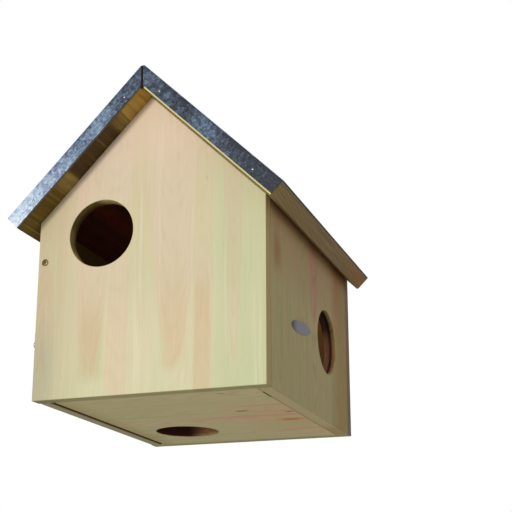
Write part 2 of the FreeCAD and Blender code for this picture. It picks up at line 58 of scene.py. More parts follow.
def toLinear(hexColour):
    # sRGB hex to a linear colour with full alpha
    channels = [int(hexColour[i:i + 2], 16) / 255 for i in (1, 3, 5)]
    return tuple(c / 12.92 if c <= 0.04045 else ((c + 0.055) / 1.055) ** 2.4 for c in channels) + (1.0,)


def addNode(tree, kind, inputs=None, stops=None, **settings):
    # kind: a shader node's name without its ShaderNode, or another node's whole name. inputs: by name or
    # number, a value, a socket or a node, whose first output is meant. stops: a colour ramp's (place, colour)
    node = tree.nodes.new(kind if "Node" in kind else "ShaderNode" + kind)
    for name, value in settings.items():
        setattr(node, name, value)
    for name, value in (inputs or {}).items():
        if isinstance(value, bpy.types.Node):
            value = value.outputs[0]
        if isinstance(value, bpy.types.NodeSocket):
            tree.links.new(value, node.inputs[name])
        else:
            node.inputs[name].default_value = value
    if stops:
        elements = node.color_ramp.elements
        while len(elements) < len(stops):
            elements.new(0.5)
        for element, (place, colour) in zip(elements, stops):
            element.position = place
            element.color = toLinear(colour) if isinstance(colour, str) else (*colour, 1.0)[:4]
    return node


def newMaterial(name):
    # the material, and what adds nodes to its tree
    material = bpy.data.materials.new(name)
    material.use_nodes = True
    material.node_tree.nodes.clear()
    return material, partial(addNode, material.node_tree)


def finishMaterial(material, inputs):
    # joins the patterns to a shader, and the shader to the material's output
    shader = addNode(material.node_tree, "BsdfPrincipled", inputs)
    addNode(material.node_tree, "OutputMaterial", {"Surface": shader})
    return material


def placeInMm(add):
    place = add("TexCoord").outputs["Object"]
    return add("VectorMath", {0: place, 3: 1 / mm}, operation="SCALE")


def newPiece(name, data):
    piece = bpy.data.objects.new(name, data)
    bpy.context.scene.collection.objects.link(piece)
    return piece


def settle(piece):
    # a plain mesh of the piece as its modifiers leave it
    graph = bpy.context.evaluated_depsgraph_get()
    graph.update()
    mesh = bpy.data.meshes.new_from_object(piece.evaluated_get(graph))
    name = piece.name
    bpy.data.objects.remove(piece)
    mesh.name = name
    return newPiece(name, mesh)


def rework(mesh, *changes):
    work = bmesh.new()
    work.from_mesh(mesh)
    for change in changes:
        change(work)
    work.to_mesh(mesh)
    work.free()


def closeSeams(work):
    bmesh.ops.remove_doubles(work, verts=work.verts, dist=mergeWithin)
    bmesh.ops.recalc_face_normals(work, faces=work.faces)


def toMesh(name, build):
    # build fills a bmesh in metres
    mesh = bpy.data.meshes.new(name)
    rework(mesh, build, closeSeams)
    return mesh


def prism(corners, start, end, place):
    # a solid between two copies of a flat outline. place turns (across, up, along) in mm into a point
    def build(work):
        ends = [[work.verts.new(place(a, b, along)) for a, b in corners] for along in (start, end)]
        count = len(corners)
        work.faces.new(ends[0])
        work.faces.new(ends[1][::-1])
        for i in range(count):
            j = (i + 1) % count
            work.faces.new([ends[0][i], ends[0][j], ends[1][j], ends[1][i]])
    return build


def alongY(a, b, along):
    return Vector((a, along, b)) * mm


def turned(name, profile, segments):
    # a mesh turned about Z from (radius, height) pairs in mm, from its lower pole to its upper one
    def build(work):
        rings = []
        for radius, height in profile:
            if radius == 0:
                rings.append([work.verts.new((0, 0, height * mm))])
                continue
            angles = [2 * math.pi * i / segments for i in range(segments)]
            rings.append([work.verts.new((radius * mm * math.cos(t), radius * mm * math.sin(t), height * mm))
                          for t in angles])
        for low, high in zip(rings, rings[1:]):
            for i in range(segments):
                j = (i + 1) % segments
                ring = [low[i % len(low)], low[j % len(low)], high[j % len(high)], high[i % len(high)]]
                face = [v for k, v in enumerate(ring) if v not in ring[:k]]
                if len(face) > 2:
                    work.faces.new(face)
    return toMesh(name, build)


def drill(radius, mouth, axis, depth, sides):
    # the cutter for a round bore. Its axis points out of the bore's mouth
    mesh = turned("cutter", [(0, -depth), (radius, -depth), (radius, 0), (0, 0)], sides)
    turn = Vector((0, 0, 1)).rotation_difference(Vector(axis)).to_matrix().to_4x4()
    mesh.transform(Matrix.Translation(Vector(mouth) * mm) @ turn)
    return newPiece("cutter", mesh)


def cut(piece, cutters):
    for cutter in cutters:
        modifier = piece.modifiers.new("cut", "BOOLEAN")
        modifier.operation = "DIFFERENCE"
        modifier.solver = "EXACT"
        modifier.object = cutter
    piece = settle(piece)
    for cutter in cutters:
        bpy.data.objects.remove(cutter)
    return piece


def ease(piece, width):
    # rounds the arrises that are sharper than the entrances' facets
    bevel = piece.modifiers.new("ease", "BEVEL")
    bevel.width = width * mm
    bevel.segments = 3
    bevel.limit_method = "ANGLE"
    bevel.angle_limit = math.radians(38)
    bevel.use_clamp_overlap = True
    bevel.miter_outer = "MITER_ARC"
    return settle(piece)


def smooth(mesh, angle):
    # smooth shading with the creases above the angle kept
    mesh.polygons.foreach_set("use_smooth", [True] * len(mesh.polygons))
    mesh.set_sharp_from_angle(angle=math.radians(angle))


def shade(piece, angle):
    # the normals follow the larger faces, which keeps the flats flat
    smooth(piece.data, angle)
    weighted = piece.modifiers.new("normals", "WEIGHTED_NORMAL")
    weighted.keep_sharp = True
    return settle(piece)


def attach(piece, body, slot, *nodes):
    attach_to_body(piece, body)
    if nodes:
        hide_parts(*nodes)


def finish(piece, material, body, slot, *nodes):
    piece.data.materials.clear()
    piece.data.materials.append(material)
    attach(piece, body, slot, *nodes)


# Planed, edge-glued pine, tinted green by its preservative. Each stave shows a flame of pinkish heartwood
# that tapers along the grain, with faint rings parallel to its edge and fine streaks along the grain.
pine = {
    "ringStep": 0.34,        # in the flame's own field, which makes rings 2 to 6 mm apart at its flanks
    "ringWander": 3.2,
    "flankCurve": 2.6,       # how fast a flame's flanks fall away
    "depthFall": 0.09,       # and how fast it fades into the board, per mm
    "fibre": (0.8, 45),      # width and length of the finest streaks. Real fibres are finer still
    "streak": (3.2, 130),
    "drift": (14, 260),
    "fleck": (2.4, 15),      # short dark dashes
    "wander": 5,             # how far the grain strays sideways, and over what width and length
    "wanderOver": (90, 190),
    "heartFrom": 0.55,       # the field where the heartwood begins
    "flameRoom": (100, 400, 100),    # how far beyond a board a flame may lie across and along, and the widest
    "knotReach": 5,          # in a knot's own widths
    "lateShare": [(0.0, 0.3), (0.16, 0.0), (0.5, 0.1), (0.86, 0.85), (0.97, 0.5)],    # over one ring
}


def pineMaterial(name, board):
    material, add = newMaterial(name)
    place = add("TexCoord").outputs["Object"]
    inMm = add("Mapping", {"Vector": place, "Rotation": board.get("turn", (0, 0, 0)),
                           "Scale": (1 / mm, 1 / mm, 1 / mm)})
    axes = add("SeparateXYZ", {0: inMm}).outputs
    across, depth, along = (axes[axis] for axis in board["axes"])

    def grainSpace(sideways, width, length):
        # coordinates stretched along the grain
        parts = zip((sideways, depth, along), (width, width, length))
        return add("CombineXYZ", {i: add("Math", {0: part, 1: size}, operation="DIVIDE")
                                  for i, (part, size) in enumerate(parts)})

    # the grain strays a little sideways
    slow = grainSpace(across, *pine["wanderOver"])
    stray = add("TexNoise", {"Vector": slow, "W": board["seed"], "Scale": 1.0, "Detail": 2.0},
                noise_dimensions="4D")
    strayed = add("Math", {0: add("Math", {0: stray, 1: -0.5}, operation="ADD"),
                           1: 2 * board.get("wander", pine["wander"]), 2: across},
                  operation="MULTIPLY_ADD")

    # one stave after another across the board: where its flame lies, where it ends, how wide it is 100 mm
    # from its tip (below 0 for a flame that points up) and the stave's own tone, packed in a ramp's colours
    low, high = board["span"]
    start, end = board["length"]
    roomAcross, roomAlong, widest = pine["flameRoom"]
    least = (low - roomAcross, start - roomAlong, -widest)
    most = (high + roomAcross, end + roomAlong, widest)
    share = add("MapRange", {"Value": across, "From Min": low, "From Max": high})
    stops = [((edge - low) / (high - low),
              (*((value - a) / (b - a) for value, a, b in zip(flame, least, most)), tone))
             for edge, *flame, tone in board["staves"]]
    staves = add("ValToRGB", {"Fac": share}, stops)
    staves.color_ramp.interpolation = board.get("joints", "CONSTANT")
    stave = add("SeparateColor", {0: staves.outputs["Color"]}).outputs
    staveTone = staves.outputs["Alpha"]
    flameAcross, flameTip, flameWidth = (
        add("MapRange", {"Value": packed, "To Min": a, "To Max": b}, clamp=False)
        for packed, a, b in zip(stave, least, most))

    # the flame's field is nearly a parabola's: above 0 inside the flame, and its level lines are the rings
    aside = add("Math", {0: strayed, 1: flameAcross}, operation="SUBTRACT")
    aside = add("Math", {0: aside, 1: flameWidth}, operation="DIVIDE")
    fromTip = add("Math", {0: along, 1: flameTip}, operation="SUBTRACT")
    pointing = add("Math", {0: add("Math", {0: flameWidth}, operation="SIGN"), 1: 0.01}, operation="MULTIPLY")
    lengthways = add("Math", {0: fromTip, 1: pointing}, operation="MULTIPLY")
    inward = add("Math", {0: add("Math", {0: depth, 1: board["face"]}, operation="SUBTRACT")},
                 operation="ABSOLUTE")
    flank = add("Math", {0: add("Math", {0: aside}, operation="ABSOLUTE"),
                         1: pine["flankCurve"]}, operation="POWER")
    field = add("Math", {0: lengthways, 1: flank}, operation="SUBTRACT")
    field = add("Math", {0: inward, 1: -pine["depthFall"], 2: field}, operation="MULTIPLY_ADD")

    # knots push the rings aside
    knotDark = None
    for knotAcross, knotAlong, width, length in board.get("knots", []):
        spans = (across, knotAcross, width), (along, knotAlong, length)
        offset = add("CombineXYZ", {
            i: add("Math", {0: add("Math", {0: value, 1: middle}, operation="SUBTRACT"), 1: size},
                   operation="DIVIDE") for i, (value, middle, size) in enumerate(spans)})
        away = add("VectorMath", {0: offset}, operation="LENGTH").outputs["Value"]
        push = add("MapRange", {"Value": away, "From Min": 0.0, "From Max": pine["knotReach"],
                                "To Min": 0.6, "To Max": 0.0}, interpolation_type="SMOOTHERSTEP")
        field = add("Math", {0: field, 1: push}, operation="ADD")
        dark = add("MapRange", {"Value": away, "From Min": 0.7, "From Max": 1.6, "To Min": 0.85,
                                "To Max": 0.0}, interpolation_type="SMOOTHSTEP")
        knotDark = dark if knotDark is None else add("Math", {0: knotDark, 1: dark}, operation="MAXIMUM")

    # streaks of four sizes along the grain, each stave with its own
    phase = add("Math", {0: stave[0], 1: 40.0, 2: board["seed"]}, operation="MULTIPLY_ADD")
    fibre, streak, drift, flecks = (
        add("TexNoise", {"Vector": grainSpace(strayed, *pine[size]), "W": phase, "Scale": 1.0,
                         "Detail": 2.0, "Roughness": 0.6}, noise_dimensions="4D").outputs[0]
        for size in ("fibre", "streak", "drift", "fleck"))

    # rings: early wood that darkens slowly into a thin late line, stronger here and fainter there
    uneven = add("TexNoise", {"Vector": slow, "Scale": 2.6, "Detail": 3.0})
    rings = add("Math", {0: field, 1: pine["ringStep"]}, operation="DIVIDE")
    rings = add("Math", {0: uneven, 1: pine["ringWander"], 2: rings}, operation="MULTIPLY_ADD")
    rings = add("Math", {0: rings}, operation="FRACT")
    late = add("ValToRGB", {"Fac": rings}, stops=[(at, (dark,) * 3) for at, dark in pine["lateShare"]])
    strength = add("MapRange", {"Value": drift, "From Min": 0.35, "From Max": 0.65,
                                "To Min": 0.2 * board["ringStrength"],
                                "To Max": 1.4 * board["ringStrength"]})
    lateShare = add("Math", {0: late, 1: strength}, operation="MULTIPLY")

    # tone from green sapwood over straw to pink heartwood
    heart = add("Math", {0: drift, 1: 0.6, 2: field}, operation="MULTIPLY_ADD")
    heart = add("Math", {0: streak, 1: 0.5, 2: heart}, operation="MULTIPLY_ADD")
    edge = board.get("flameEdge", 0.2)
    heart = add("MapRange", {"Value": heart, "From Min": pine["heartFrom"] - edge,
                             "From Max": pine["heartFrom"] + edge}, interpolation_type="SMOOTHSTEP")
    tone = add("Math", {0: heart, 1: board["flameStrength"], 2: staveTone}, operation="MULTIPLY_ADD")
    rise = add("MapRange", {"Value": along, "From Min": start, "From Max": end,
                            "To Min": -board["rise"] / 2, "To Max": board["rise"] / 2})
    tone = add("Math", {0: tone, 1: rise}, operation="ADD")
    for layer, strength in ((drift, board["driftStrength"]), (streak, board["streakStrength"])):
        tone = add("Math", {0: add("Math", {0: layer, 1: -0.5}, operation="ADD"),
                            1: strength, 2: tone}, operation="MULTIPLY_ADD")
    colour = add("ValToRGB", {"Fac": tone}, stops=board["tones"])
    colour = add("Mix", {0: lateShare, 6: colour, 7: toLinear(board["lateWood"])},
                 data_type="RGBA").outputs[2]
    palest = add("MapRange", {"Value": drift, "From Min": 0.44, "From Max": 0.6,
                              "To Max": board["paleStrength"]})
    paleShare = add("MapRange", {"Value": streak, "From Min": 0.55, "From Max": 0.66, "To Max": palest})
    fleckShare = add("MapRange", {"Value": flecks, "From Min": 0.64, "From Max": 0.8,
                                  "To Max": board["fleckStrength"]})
    for share, tint in ((paleShare, board["paleWood"]), (fleckShare, board["lateWood"])):
        colour = add("Mix", {0: share, 6: colour, 7: toLinear(tint)}, data_type="RGBA").outputs[2]
    fibreTone = add("MapRange", {"Value": fibre, "From Min": 0.3, "From Max": 0.7,
                                 "To Min": 1 - board["fibreStrength"],
                                 "To Max": 1 + board["fibreStrength"]})
    colour = add("VectorMath", {0: colour, 3: fibreTone}, operation="SCALE")
    if knotDark is not None:
        colour = add("Mix", {0: knotDark, 6: colour, 7: toLinear(board["knotColour"])},
                     data_type="RGBA").outputs[2]

    # end grain is bare of stain, eased arrises are sanded, though the roof boards' arrises are tinted dark as
    # painted lines of shade, and the faces inside the house take tints that paint the shade and light seen
    # there
    for attribute, blend in (("endGrain", "MIX"), ("arris", "MULTIPLY"), ("inside", "MULTIPLY")):
        given = add("Attribute", attribute_name=attribute).outputs["Fac"]
        colour = add("Mix", {0: given, 6: colour, 7: toLinear(board[attribute])},
                     data_type="RGBA", blend_type=blend).outputs[2]

    # an entrance's wall takes tones by its depth in the board that paint the light and shade in the bore: lit
    # at its mouth and in shade further in
    if board.get("bores"):
        share = add("MapRange", {"Value": inward, "From Max": board["thickness"]})
        boreShade = add("ValToRGB", {"Fac": share}, stops=board["boreTones"])
        uneven = add("MapRange", {"Value": streak, "From Min": 0.3, "From Max": 0.7, "To Min": 0.75,
                                  "To Max": 1.25})
        boreShade = add("VectorMath", {0: boreShade, 3: uneven}, operation="SCALE")
        given = add("Attribute", attribute_name="bore").outputs["Fac"]
        colour = add("Mix", {0: given, 6: colour, 7: boreShade}, data_type="RGBA").outputs[2]

    # washes of stain or shade that fade in along one axis or more: 0 across, 1 through and 2 along the board
    for tint, *limits in board.get("washes", []):
        share = 1.0
        for axis, clear, full in limits:
            fade = add("MapRange", {"Value": (across, depth, along)[axis], "From Min": clear,
                                    "From Max": full}, interpolation_type="SMOOTHSTEP")
            share = add("Math", {0: share, 1: fade}, operation="MULTIPLY")
        colour = add("Mix", {0: share, 6: colour, 7: toLinear(tint)}, data_type="RGBA",
                     blend_type="MULTIPLY").outputs[2]

    # planed wood: dull, the late lines a touch smoother, fibres just felt
    roughness = add("MapRange", {"Value": fibre, "From Min": 0.3, "From Max": 0.7,
                                 "To Min": 0.72, "To Max": 0.58})
    relief = add("Math", {0: fibre, 1: 0.6, 2: lateShare}, operation="MULTIPLY_ADD")
    bump = add("Bump", {"Height": relief, "Strength": 0.35, "Distance": 0.12 * mm})
    return finishMaterial(material, {"Base Color": colour, "Roughness": roughness, "Normal": bump,
                                     "IOR": 1.45, "Specular IOR Level": 0.32})


# How faces are told apart.
telling = {
    "bore": 0.3, "turned": 0.9,            # how near an entrance's wall (mm), how far turned from the flats
    "inside": 0.2, "flat": 0.95,           # how near the inner face (mm), and how well turned to it
    "small": 4e-4, "smallFlat": 2.5e-4,    # an eased arris: the face, and all that faces its way (m2)
    "endGrain": 0.85,                      # the most that end grain shows
}


def markBoard(piece, board):
    # per face: how much end grain it shows, whether it is an eased arris, the inside or an entrance's wall
    mesh = piece.data
    grain, inward = Vector(board["grain"]), Vector(board["inward"])
    high = max(v.co.dot(inward) for v in mesh.vertices)
    marks = {"endGrain": [], "arris": [], "inside": [], "bore": []}
    keys = [tuple(round(n, 3) for n in face.normal) for face in mesh.polygons]
    flats = {}
    for key, face in zip(keys, mesh.polygons):
        flats[key] = flats.get(key, 0) + face.area
    for key, face in zip(keys, mesh.polygons):
        normal, middle = face.normal, face.center
        bore = False
        for radius, mouth, *_ in board.get("bores", []):
            offset = middle - Vector(mouth) * mm
            offset -= inward * offset.dot(inward)
            bore = bore or (offset.length < (radius + telling["bore"]) * mm
                            and abs(normal.dot(inward)) < telling["turned"])
        small = flats[key] < telling["smallFlat"] and face.area < telling["small"]
        atInside = (normal.dot(inward) > telling["flat"]
                    and middle.dot(inward) > high - telling["inside"] * mm
                    and abs(middle.x) < board.get("insideHalf", halfWidth) * mm
                    and frontFace < middle.y / mm < backFace)
        marks["endGrain"].append(0.0 if bore else telling["endGrain"] * abs(normal.dot(grain)) ** 2)
        marks["inside"].append(1.0 if atInside else 0.0)
        marks["bore"].append(1.0 if bore else 0.0)
        marks["arris"].append(1.0 if small and not bore else 0.0)
    for name, values in marks.items():
        mesh.attributes.new(name, "FLOAT", "FACE").data.foreach_set("value", values)


def entrance(name):
    # the middle of a round entrance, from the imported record's openings
    found = [o for o in frame["record"]["physics"]["openings"] if o["name"] == name][0]["box_m"]
    return [(low + high) / 2 / mm for low, high in zip(*found)]


def makeBoard(node, board, outline, material, slot, body="root"):
    low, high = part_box(node)
    piece = newPiece(node, toMesh(node, prism(outline, low.y / mm, high.y / mm, alongY)))
    if board.get("bores"):
        piece = cut(piece, [drill(*bore) for bore in board["bores"]])
    piece = ease(piece, board["easing"])
    if board.get("smallBores"):
        piece = cut(piece, [drill(*bore) for bore in board["smallBores"]])
    if board.get("recesses"):
        piece = cut(piece, [newPiece("cutter", toMesh("cutter", prism(
            [(left, foot), (right, foot), (right, top), (left, top)], near, far, alongY)))
            for (left, near, foot), (right, far, top) in board["recesses"]])

    def divide(work):
        # so that the inside can be told from what shows outside
        for point, normal in board.get("divided", []):
            bmesh.ops.bisect_plane(work, geom=work.verts[:] + work.edges[:] + work.faces[:], dist=mergeWithin,
                                   plane_co=Vector(point) * mm, plane_no=Vector(normal))

    rework(piece.data, divide)
    piece = shade(piece, 40)
    markBoard(piece, board)
    piece.name = node + "_board"
    finish(piece, material, body, slot, node)


def squareOutline(box):
    # a CAD box seen from the front
    return [(box[i].x / mm, box[j].z / mm) for i, j in ((0, 0), (1, 0), (1, 1), (0, 1))]


# Which node axis is across the board, through it and along the grain.
upright, sideways, level = (0, 1, 2), (1, 0, 2), (1, 2, 0)

frontBox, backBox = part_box("front_panel"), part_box("back_panel")
frontFace, backFace = frontBox[0].y / mm, backBox[1].y / mm
halfWidth, ridgeUnder = frontBox[1].x / mm, frontBox[1].z / mm
eaveLine = ridgeUnder - halfWidth            # the roof's pitch is 45 degrees
gable = [(-halfWidth, 0), (halfWidth, 0), (halfWidth, eaveLine), (0, ridgeUnder), (-halfWidth, eaveLine)]
insideHalf = 110.8                           # half the house's width inside
pivot = (-117.4, 146)                        # the door's pivot screws, across and up
frontEntrance, sideEntrance, floorEntrance = (entrance(side + "_entrance")
                                              for side in ("front", "side", "floor"))

# Cutters: an entrance's goes right through its board, a pivot screw's sinks its head.
entranceBore = {"radius": 36, "clear": 20, "depth": 60, "sides": 128}
pivotBore = {"radius": 3.8, "clear": 0.01, "depth": 2.7, "sides": 40}


def boreAt(bore, face, axis):
    # what drill needs, for a bore whose mouth stands a little clear of the board's face
    mouth = [at + bore["clear"] * way for at, way in zip(face, axis)]
    return bore["radius"], mouth, axis, bore["depth"], bore["sides"]


def throughBoard(face, way):
    # limits for a wash that shows only between a board's faces
    return (1, face + 0.1 * way, face + 0.8 * way), (1, face + 13.95 * way, face + 13.4 * way)


palePine = {
    "tones": [(0.0, "#cfcfa2"), (0.25, "#d7d0a8"), (0.5, "#d9cba5"), (0.75, "#dac7a4"), (1.0, "#dfc8ac")],
    "lateWood": "#bf9f78", "knotColour": "#4a3a20", "paleWood": "#e3ddb9", "paleStrength": 0.5,
    # its inside tint paints the shade inside the house, and its entrances' tones by depth paint the light and
    # shade in the bore
    "endGrain": "#aba168", "arris": "#f6f2e8", "inside": "#e2c697", "thickness": 14, "easing": 0.7,
    "boreTones": [(0.0, "#d6c88c"), (0.35, "#e2d080"), (0.6, "#c4a868"), (0.75, "#bc9a72"), (1.0, "#8c6c4c")],
    "ringStrength": 0.12, "fibreStrength": 0.018, "fleckStrength": 0.3, "flameStrength": 0.4,
    "driftStrength": 0.5, "streakStrength": 0.5, "rise": 0.85, "flameEdge": 0.1, "insideHalf": insideHalf,
    "divided": [((insideHalf, 0, 0), (1, 0, 0)), ((-insideHalf, 0, 0), (1, 0, 0))],
}

# inside the front entrance only, on its left side
leftOfBore = (*throughBoard(frontFace, 1), (0, -95, -90), (0, -50, -64), (2, 212, 208))
frontPanel = {
    **palePine, "axes": upright, "grain": (0, 0, 1), "inward": (0, 1, 0), "seed": 3.1,
    "span": (-126, 126), "length": (0, 315), "face": frontFace,
    # left edge, flame's middle, tip and width, tone
    "staves": [(-126, -115, 150, -14, 0.46), (-104, -61, 22, 17, 0.58), (-44.5, -30, -200, 40, 0.6),
               (-20.8, 28, 27, 20, 0.6), (50.5, 60, 150, -14, 0.55), (69, 92, 28, 8, 0.34)],
    # greyer towards its left edge, a painted shade where the light falls off, a little brown low down there,
    # its right side face toned like the shade-toned wall as painted shade, its entrance darker on the left as
    # painted shade
    "washes": [("#e9e6e0", (0, -45, -127)), ("#eef6fa", (0, -94, -112), (2, 100, 40)),
               ("#f5f1e8", (0, -80, -66), (0, -42, -54), (2, 8, 28), (2, 120, 60)),
               ("#fbf7f0", (0, 10, 22), (0, 48, 36), (2, 14, 34), (2, 140, 80)),
               ("#f9f4ec", (0, 48, 53), (0, 70, 65), (2, 125, 90)), ("#f8fbf8", (0, 66, 84)),
               ("#f6fbf6", (0, -80, -50), (2, 60, 130), (2, 280, 210)),
               ("#ffe4cb", (0, 124.4, 124.95)),
               ("#c8c6c0", *leftOfBore, (2, 150, 166)), ("#b6b0a6", *leftOfBore, (2, 174, 186)),
               ("#d8d0c8", *leftOfBore, (2, 150, 166), (1, frontFace + 5, frontFace + 12))],
    "bores": [boreAt(entranceBore, (frontEntrance[0], frontFace, frontEntrance[2]), (0, -1, 0))],
    "smallBores": [boreAt(pivotBore, (pivot[0], frontFace, pivot[1]), (0, -1, 0))],
}
makeBoard("front_panel", frontPanel, gable, pineMaterial("planed pine, front", frontPanel), "pine_panel")

backPanel = {
    **palePine, "axes": upright, "grain": (0, 0, 1), "inward": (0, -1, 0), "seed": 8.4,
    "span": (-126, 126), "length": (0, 315), "face": backFace,
    "staves": [(-126, -90, 60, 22, 0.4), (-58, -30, 240, -18, 0.45), (4, 34, 110, 16, 0.35),
               (66, 100, 40, 25, 0.3)],
    # its right side face is toned like the shade-toned wall as painted shade, and its inside tint, lighter
    # than the front's, paints the light inside the house
    "washes": [("#b49e9a", (0, 124.4, 124.95))], "inside": "#fffcf8",
    "smallBores": [boreAt(pivotBore, (pivot[0], backFace, pivot[1]), (0, 1, 0))],
    # for the hanger plate, and behind its keyhole
    "recesses": [((-10.2, backFace - 2, 230.8), (10.2, backFace + 1, 289.2)),
                 ((-7, backFace - 9, 247), (7, backFace - 1, 270.6))],
}
makeBoard("back_panel", backPanel, gable, pineMaterial("planed pine, back", backPanel), "pine_panel")
print("front and back panels made")

# The same pine as palePine, given a warmer, more saturated tone for the wall, door and floor, which stand in
# shade: painted shade colour.
shadeTonedPine = {
    "tones": [(0.0, "#bbb87c"), (0.25, "#cbbe84"), (0.5, "#d6c088"), (0.75, "#d8b78a"), (1.0, "#d8ac88")],
    "lateWood": "#a88a60", "knotColour": "#3c2c1a", "paleWood": "#d6cf98", "paleStrength": 0.2,
    # its inside tint paints the shade inside the house, and its entrances' tones by depth paint the light and
    # shade in the bore, with a dark line of painted shade a third of the way in
    "endGrain": "#cfbc88", "arris": "#f1ecdd", "inside": "#a07a6a", "thickness": 14, "easing": 0.6,
    "boreTones": [(0.0, "#e4d49e"), (0.22, "#c8ae70"), (0.34, "#886446"), (0.42, "#3a140a"), (0.5, "#6a4236"),
                  (0.62, "#a88670"), (1.0, "#b0927a")],
    "ringStrength": 0.25, "fibreStrength": 0.05, "fleckStrength": 0.35, "flameStrength": 0.4,
    "driftStrength": 1.1, "streakStrength": 1.0, "rise": 0.2,
}

# inside the side entrance only
sideAcross, sideUp = sideEntrance[1:]
inSideBore = (*throughBoard(halfWidth, -1), (0, sideAcross - 38, sideAcross - 36.2),
              (0, sideAcross + 38, sideAcross + 36.2), (2, sideUp + 39, sideUp + 36.5))
rightWall = {
    **shadeTonedPine, "axes": sideways, "grain": (0, 0, 1), "inward": (-1, 0, 0), "seed": 5.7,
    "span": (-124, 150), "length": (0, 204), "face": halfWidth,
    "staves": [(-124, -100, 150, 18, 0.35), (-62, -20, 220, 14, 0.35), (-2, 18, 104, 24, 0.38),
               (44, 60, 300, 15, 0.42), (84, 108, 118, 18, 0.36), (122, 140, 300, 15, 0.35)],
    # a painted shadow under the eave, brown towards the back, a pink patch around a knot, a pinker upper
    # half, its entrance darker at the top and further in: painted shade
    "washes": [("#9e8262", (2, 174, 193)), ("#edddc8", (0, 72, 118)),
               ("#eed2c4", (0, -124, -108), (0, -86, -104), (2, 112, 138), (2, 176, 144)),
               ("#faf0ee", (2, 95, 150)), ("#ccc8c0", *inSideBore, (2, 92, 112)),
               ("#908880", *inSideBore, (2, 102, 116), (1, halfWidth - 3, halfWidth - 6))],
    "bores": [boreAt(entranceBore, (halfWidth, sideAcross, sideUp), (1, 0, 0))],
}
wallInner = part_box("right_wall")[0].x / mm
wallOutline = [(wallInner, 0), (halfWidth, 0), (halfWidth, eaveLine),
               (wallInner, eaveLine + halfWidth - wallInner)]
makeBoard("right_wall", rightWall, wallOutline, pineMaterial("planed pine, right wall", rightWall),
          "pine_panel")

cleaningDoor = {
    **shadeTonedPine, "axes": sideways, "grain": (0, 0, 1), "inward": (1, 0, 0), "seed": 9.2,
    "span": (-124, 150), "length": (0, 190), "face": -halfWidth,
    "staves": [(-124, -100, 60, 18, 0.4), (-72, -40, 120, -16, 0.3), (-6, 30, 60, 20, 0.45),
               (58, 88, 160, 14, 0.35), (110, 140, 80, 20, 0.4)],
    # its inside is tinted dark as painted shade inside the house, and the inner half of its foot darkened as
    # painted shade in the gap above the floor
    "endGrain": "#aea67c", "inside": "#73745e", "washes": [("#8c7430", (1, -114.4, -112), (2, 3, 1))],
}
makeBoard("cleaning_door", cleaningDoor, squareOutline(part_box("cleaning_door")),
          pineMaterial("planed pine, door", cleaningDoor), "pine_panel", "door")

floorX, floorY = floorEntrance[:2]
floorBoard = {
    **shadeTonedPine, "axes": level, "grain": (1, 0, 0), "inward": (0, 0, 1), "seed": 2.6,
    "tones": [(0.0, "#c6c489"), (0.25, "#d6cb92"), (0.5, "#e0cf99"), (0.75, "#e3c496"), (1.0, "#e6b594")],
    # its entrance's tones by depth paint the shade that deepens into the bore
    "boreTones": [(0.0, "#dcc494"), (0.15, "#cca878"), (0.35, "#b0845a"), (1.0, "#a06c3c")],
    "flameStrength": 0.22, "driftStrength": 1.5, "streakStrength": 1.3,
    "span": (-124, 150), "length": (-107, 111), "face": 0,
    "staves": [(-124, -110, 200, 18, 0.35), (-62, -30, 20, 20, 0.35), (0, 20, -20, 22, 0.45),
               (62, 100, 60, 20, 0.35)],
    "knots": [(-23.2, 58, 1.9, 6), (-114, 69.3, 0.7, 3), (-5.1, 104, 1.3, 4.5)],
    # darker at the left end with painted shade at its foot beside the door's gap, pink on the right with a
    # red streak, its entrance dark on the left as painted shade, a short slit
    "washes": [("#ece6d8", (2, -80, -106)), ("#9c8444", (2, -105.4, -106.6), (1, 2, 0.5)),
               ("#fff9f3", (2, 20, 80), (0, -80, -10), (0, 140, 75)),
               ("#f0c4b0", (2, 74, 90), (2, 110, 96), (0, 27, 34), (0, 46, 39)),
               ("#4e1904", (1, 0.4, 1.4), (1, 13.9, 13.2), (2, floorX + 14, floorX - 14),
                (2, floorX - 40, floorX - 37), (0, floorY - 40, floorY - 37), (0, floorY + 40, floorY + 37)),
               ("#7a6038", (2, 109, 109.8), (0, -110, -104), (0, -78, -86))],
    "bores": [boreAt(entranceBore, (floorX, floorY, 0), (0, 0, -1))],
}
makeBoard("floor_board", floorBoard, squareOutline(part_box("floor_board")),
          pineMaterial("planed pine, floor", floorBoard), "pine_panel")
print("walls, door and floor made")

# Roof boards: rougher pine soaked in brown preservative, grain from front to back.
roofPine = {
    "tones": [(0.0, "#473106"), (0.35, "#6c550c"), (0.7, "#9b8244"), (1.0, "#c49c41")],
    # its arrises are tinted dark as painted lines of shade, and its inside dark red as painted shade inside
    # the house
    "lateWood": "#4a3820", "knotColour": "#33240f", "easing": 0.5, "arris": "#c8b890", "inside": "#a44529",
    "paleWood": "#a08c5a", "paleStrength": 0.4, "joints": "EASE", "wander": 1.5,
    "ringStrength": 0.3, "fibreStrength": 0.1, "fleckStrength": 0.5, "flameStrength": 0.1,
    "driftStrength": 0.7, "streakStrength": 0.9, "rise": 0.0,
    "thickness": 18, "overhang": 12.5, "ridgeFlat": 3.4,
}
roofTop = ridgeUnder * math.sqrt(0.5) + roofPine["thickness"]    # a roof board's upper face, in its own axes


def roofOutline(side):
    # the board's section, from the ridge's underside out to the eave and back over the top
    thick = roofPine["thickness"] * math.sqrt(0.5)
    reach = halfWidth + roofPine["overhang"]
    drop = eaveLine - roofPine["overhang"]
    half = roofPine["ridgeFlat"] / 2
    flat = ridgeUnder + roofPine["thickness"] * math.sqrt(2) - half
    section = [(0, ridgeUnder), (reach, drop), (reach + thick, drop + thick), (half, flat), (0, flat)]
    return [(side * x, z) for x, z in section]


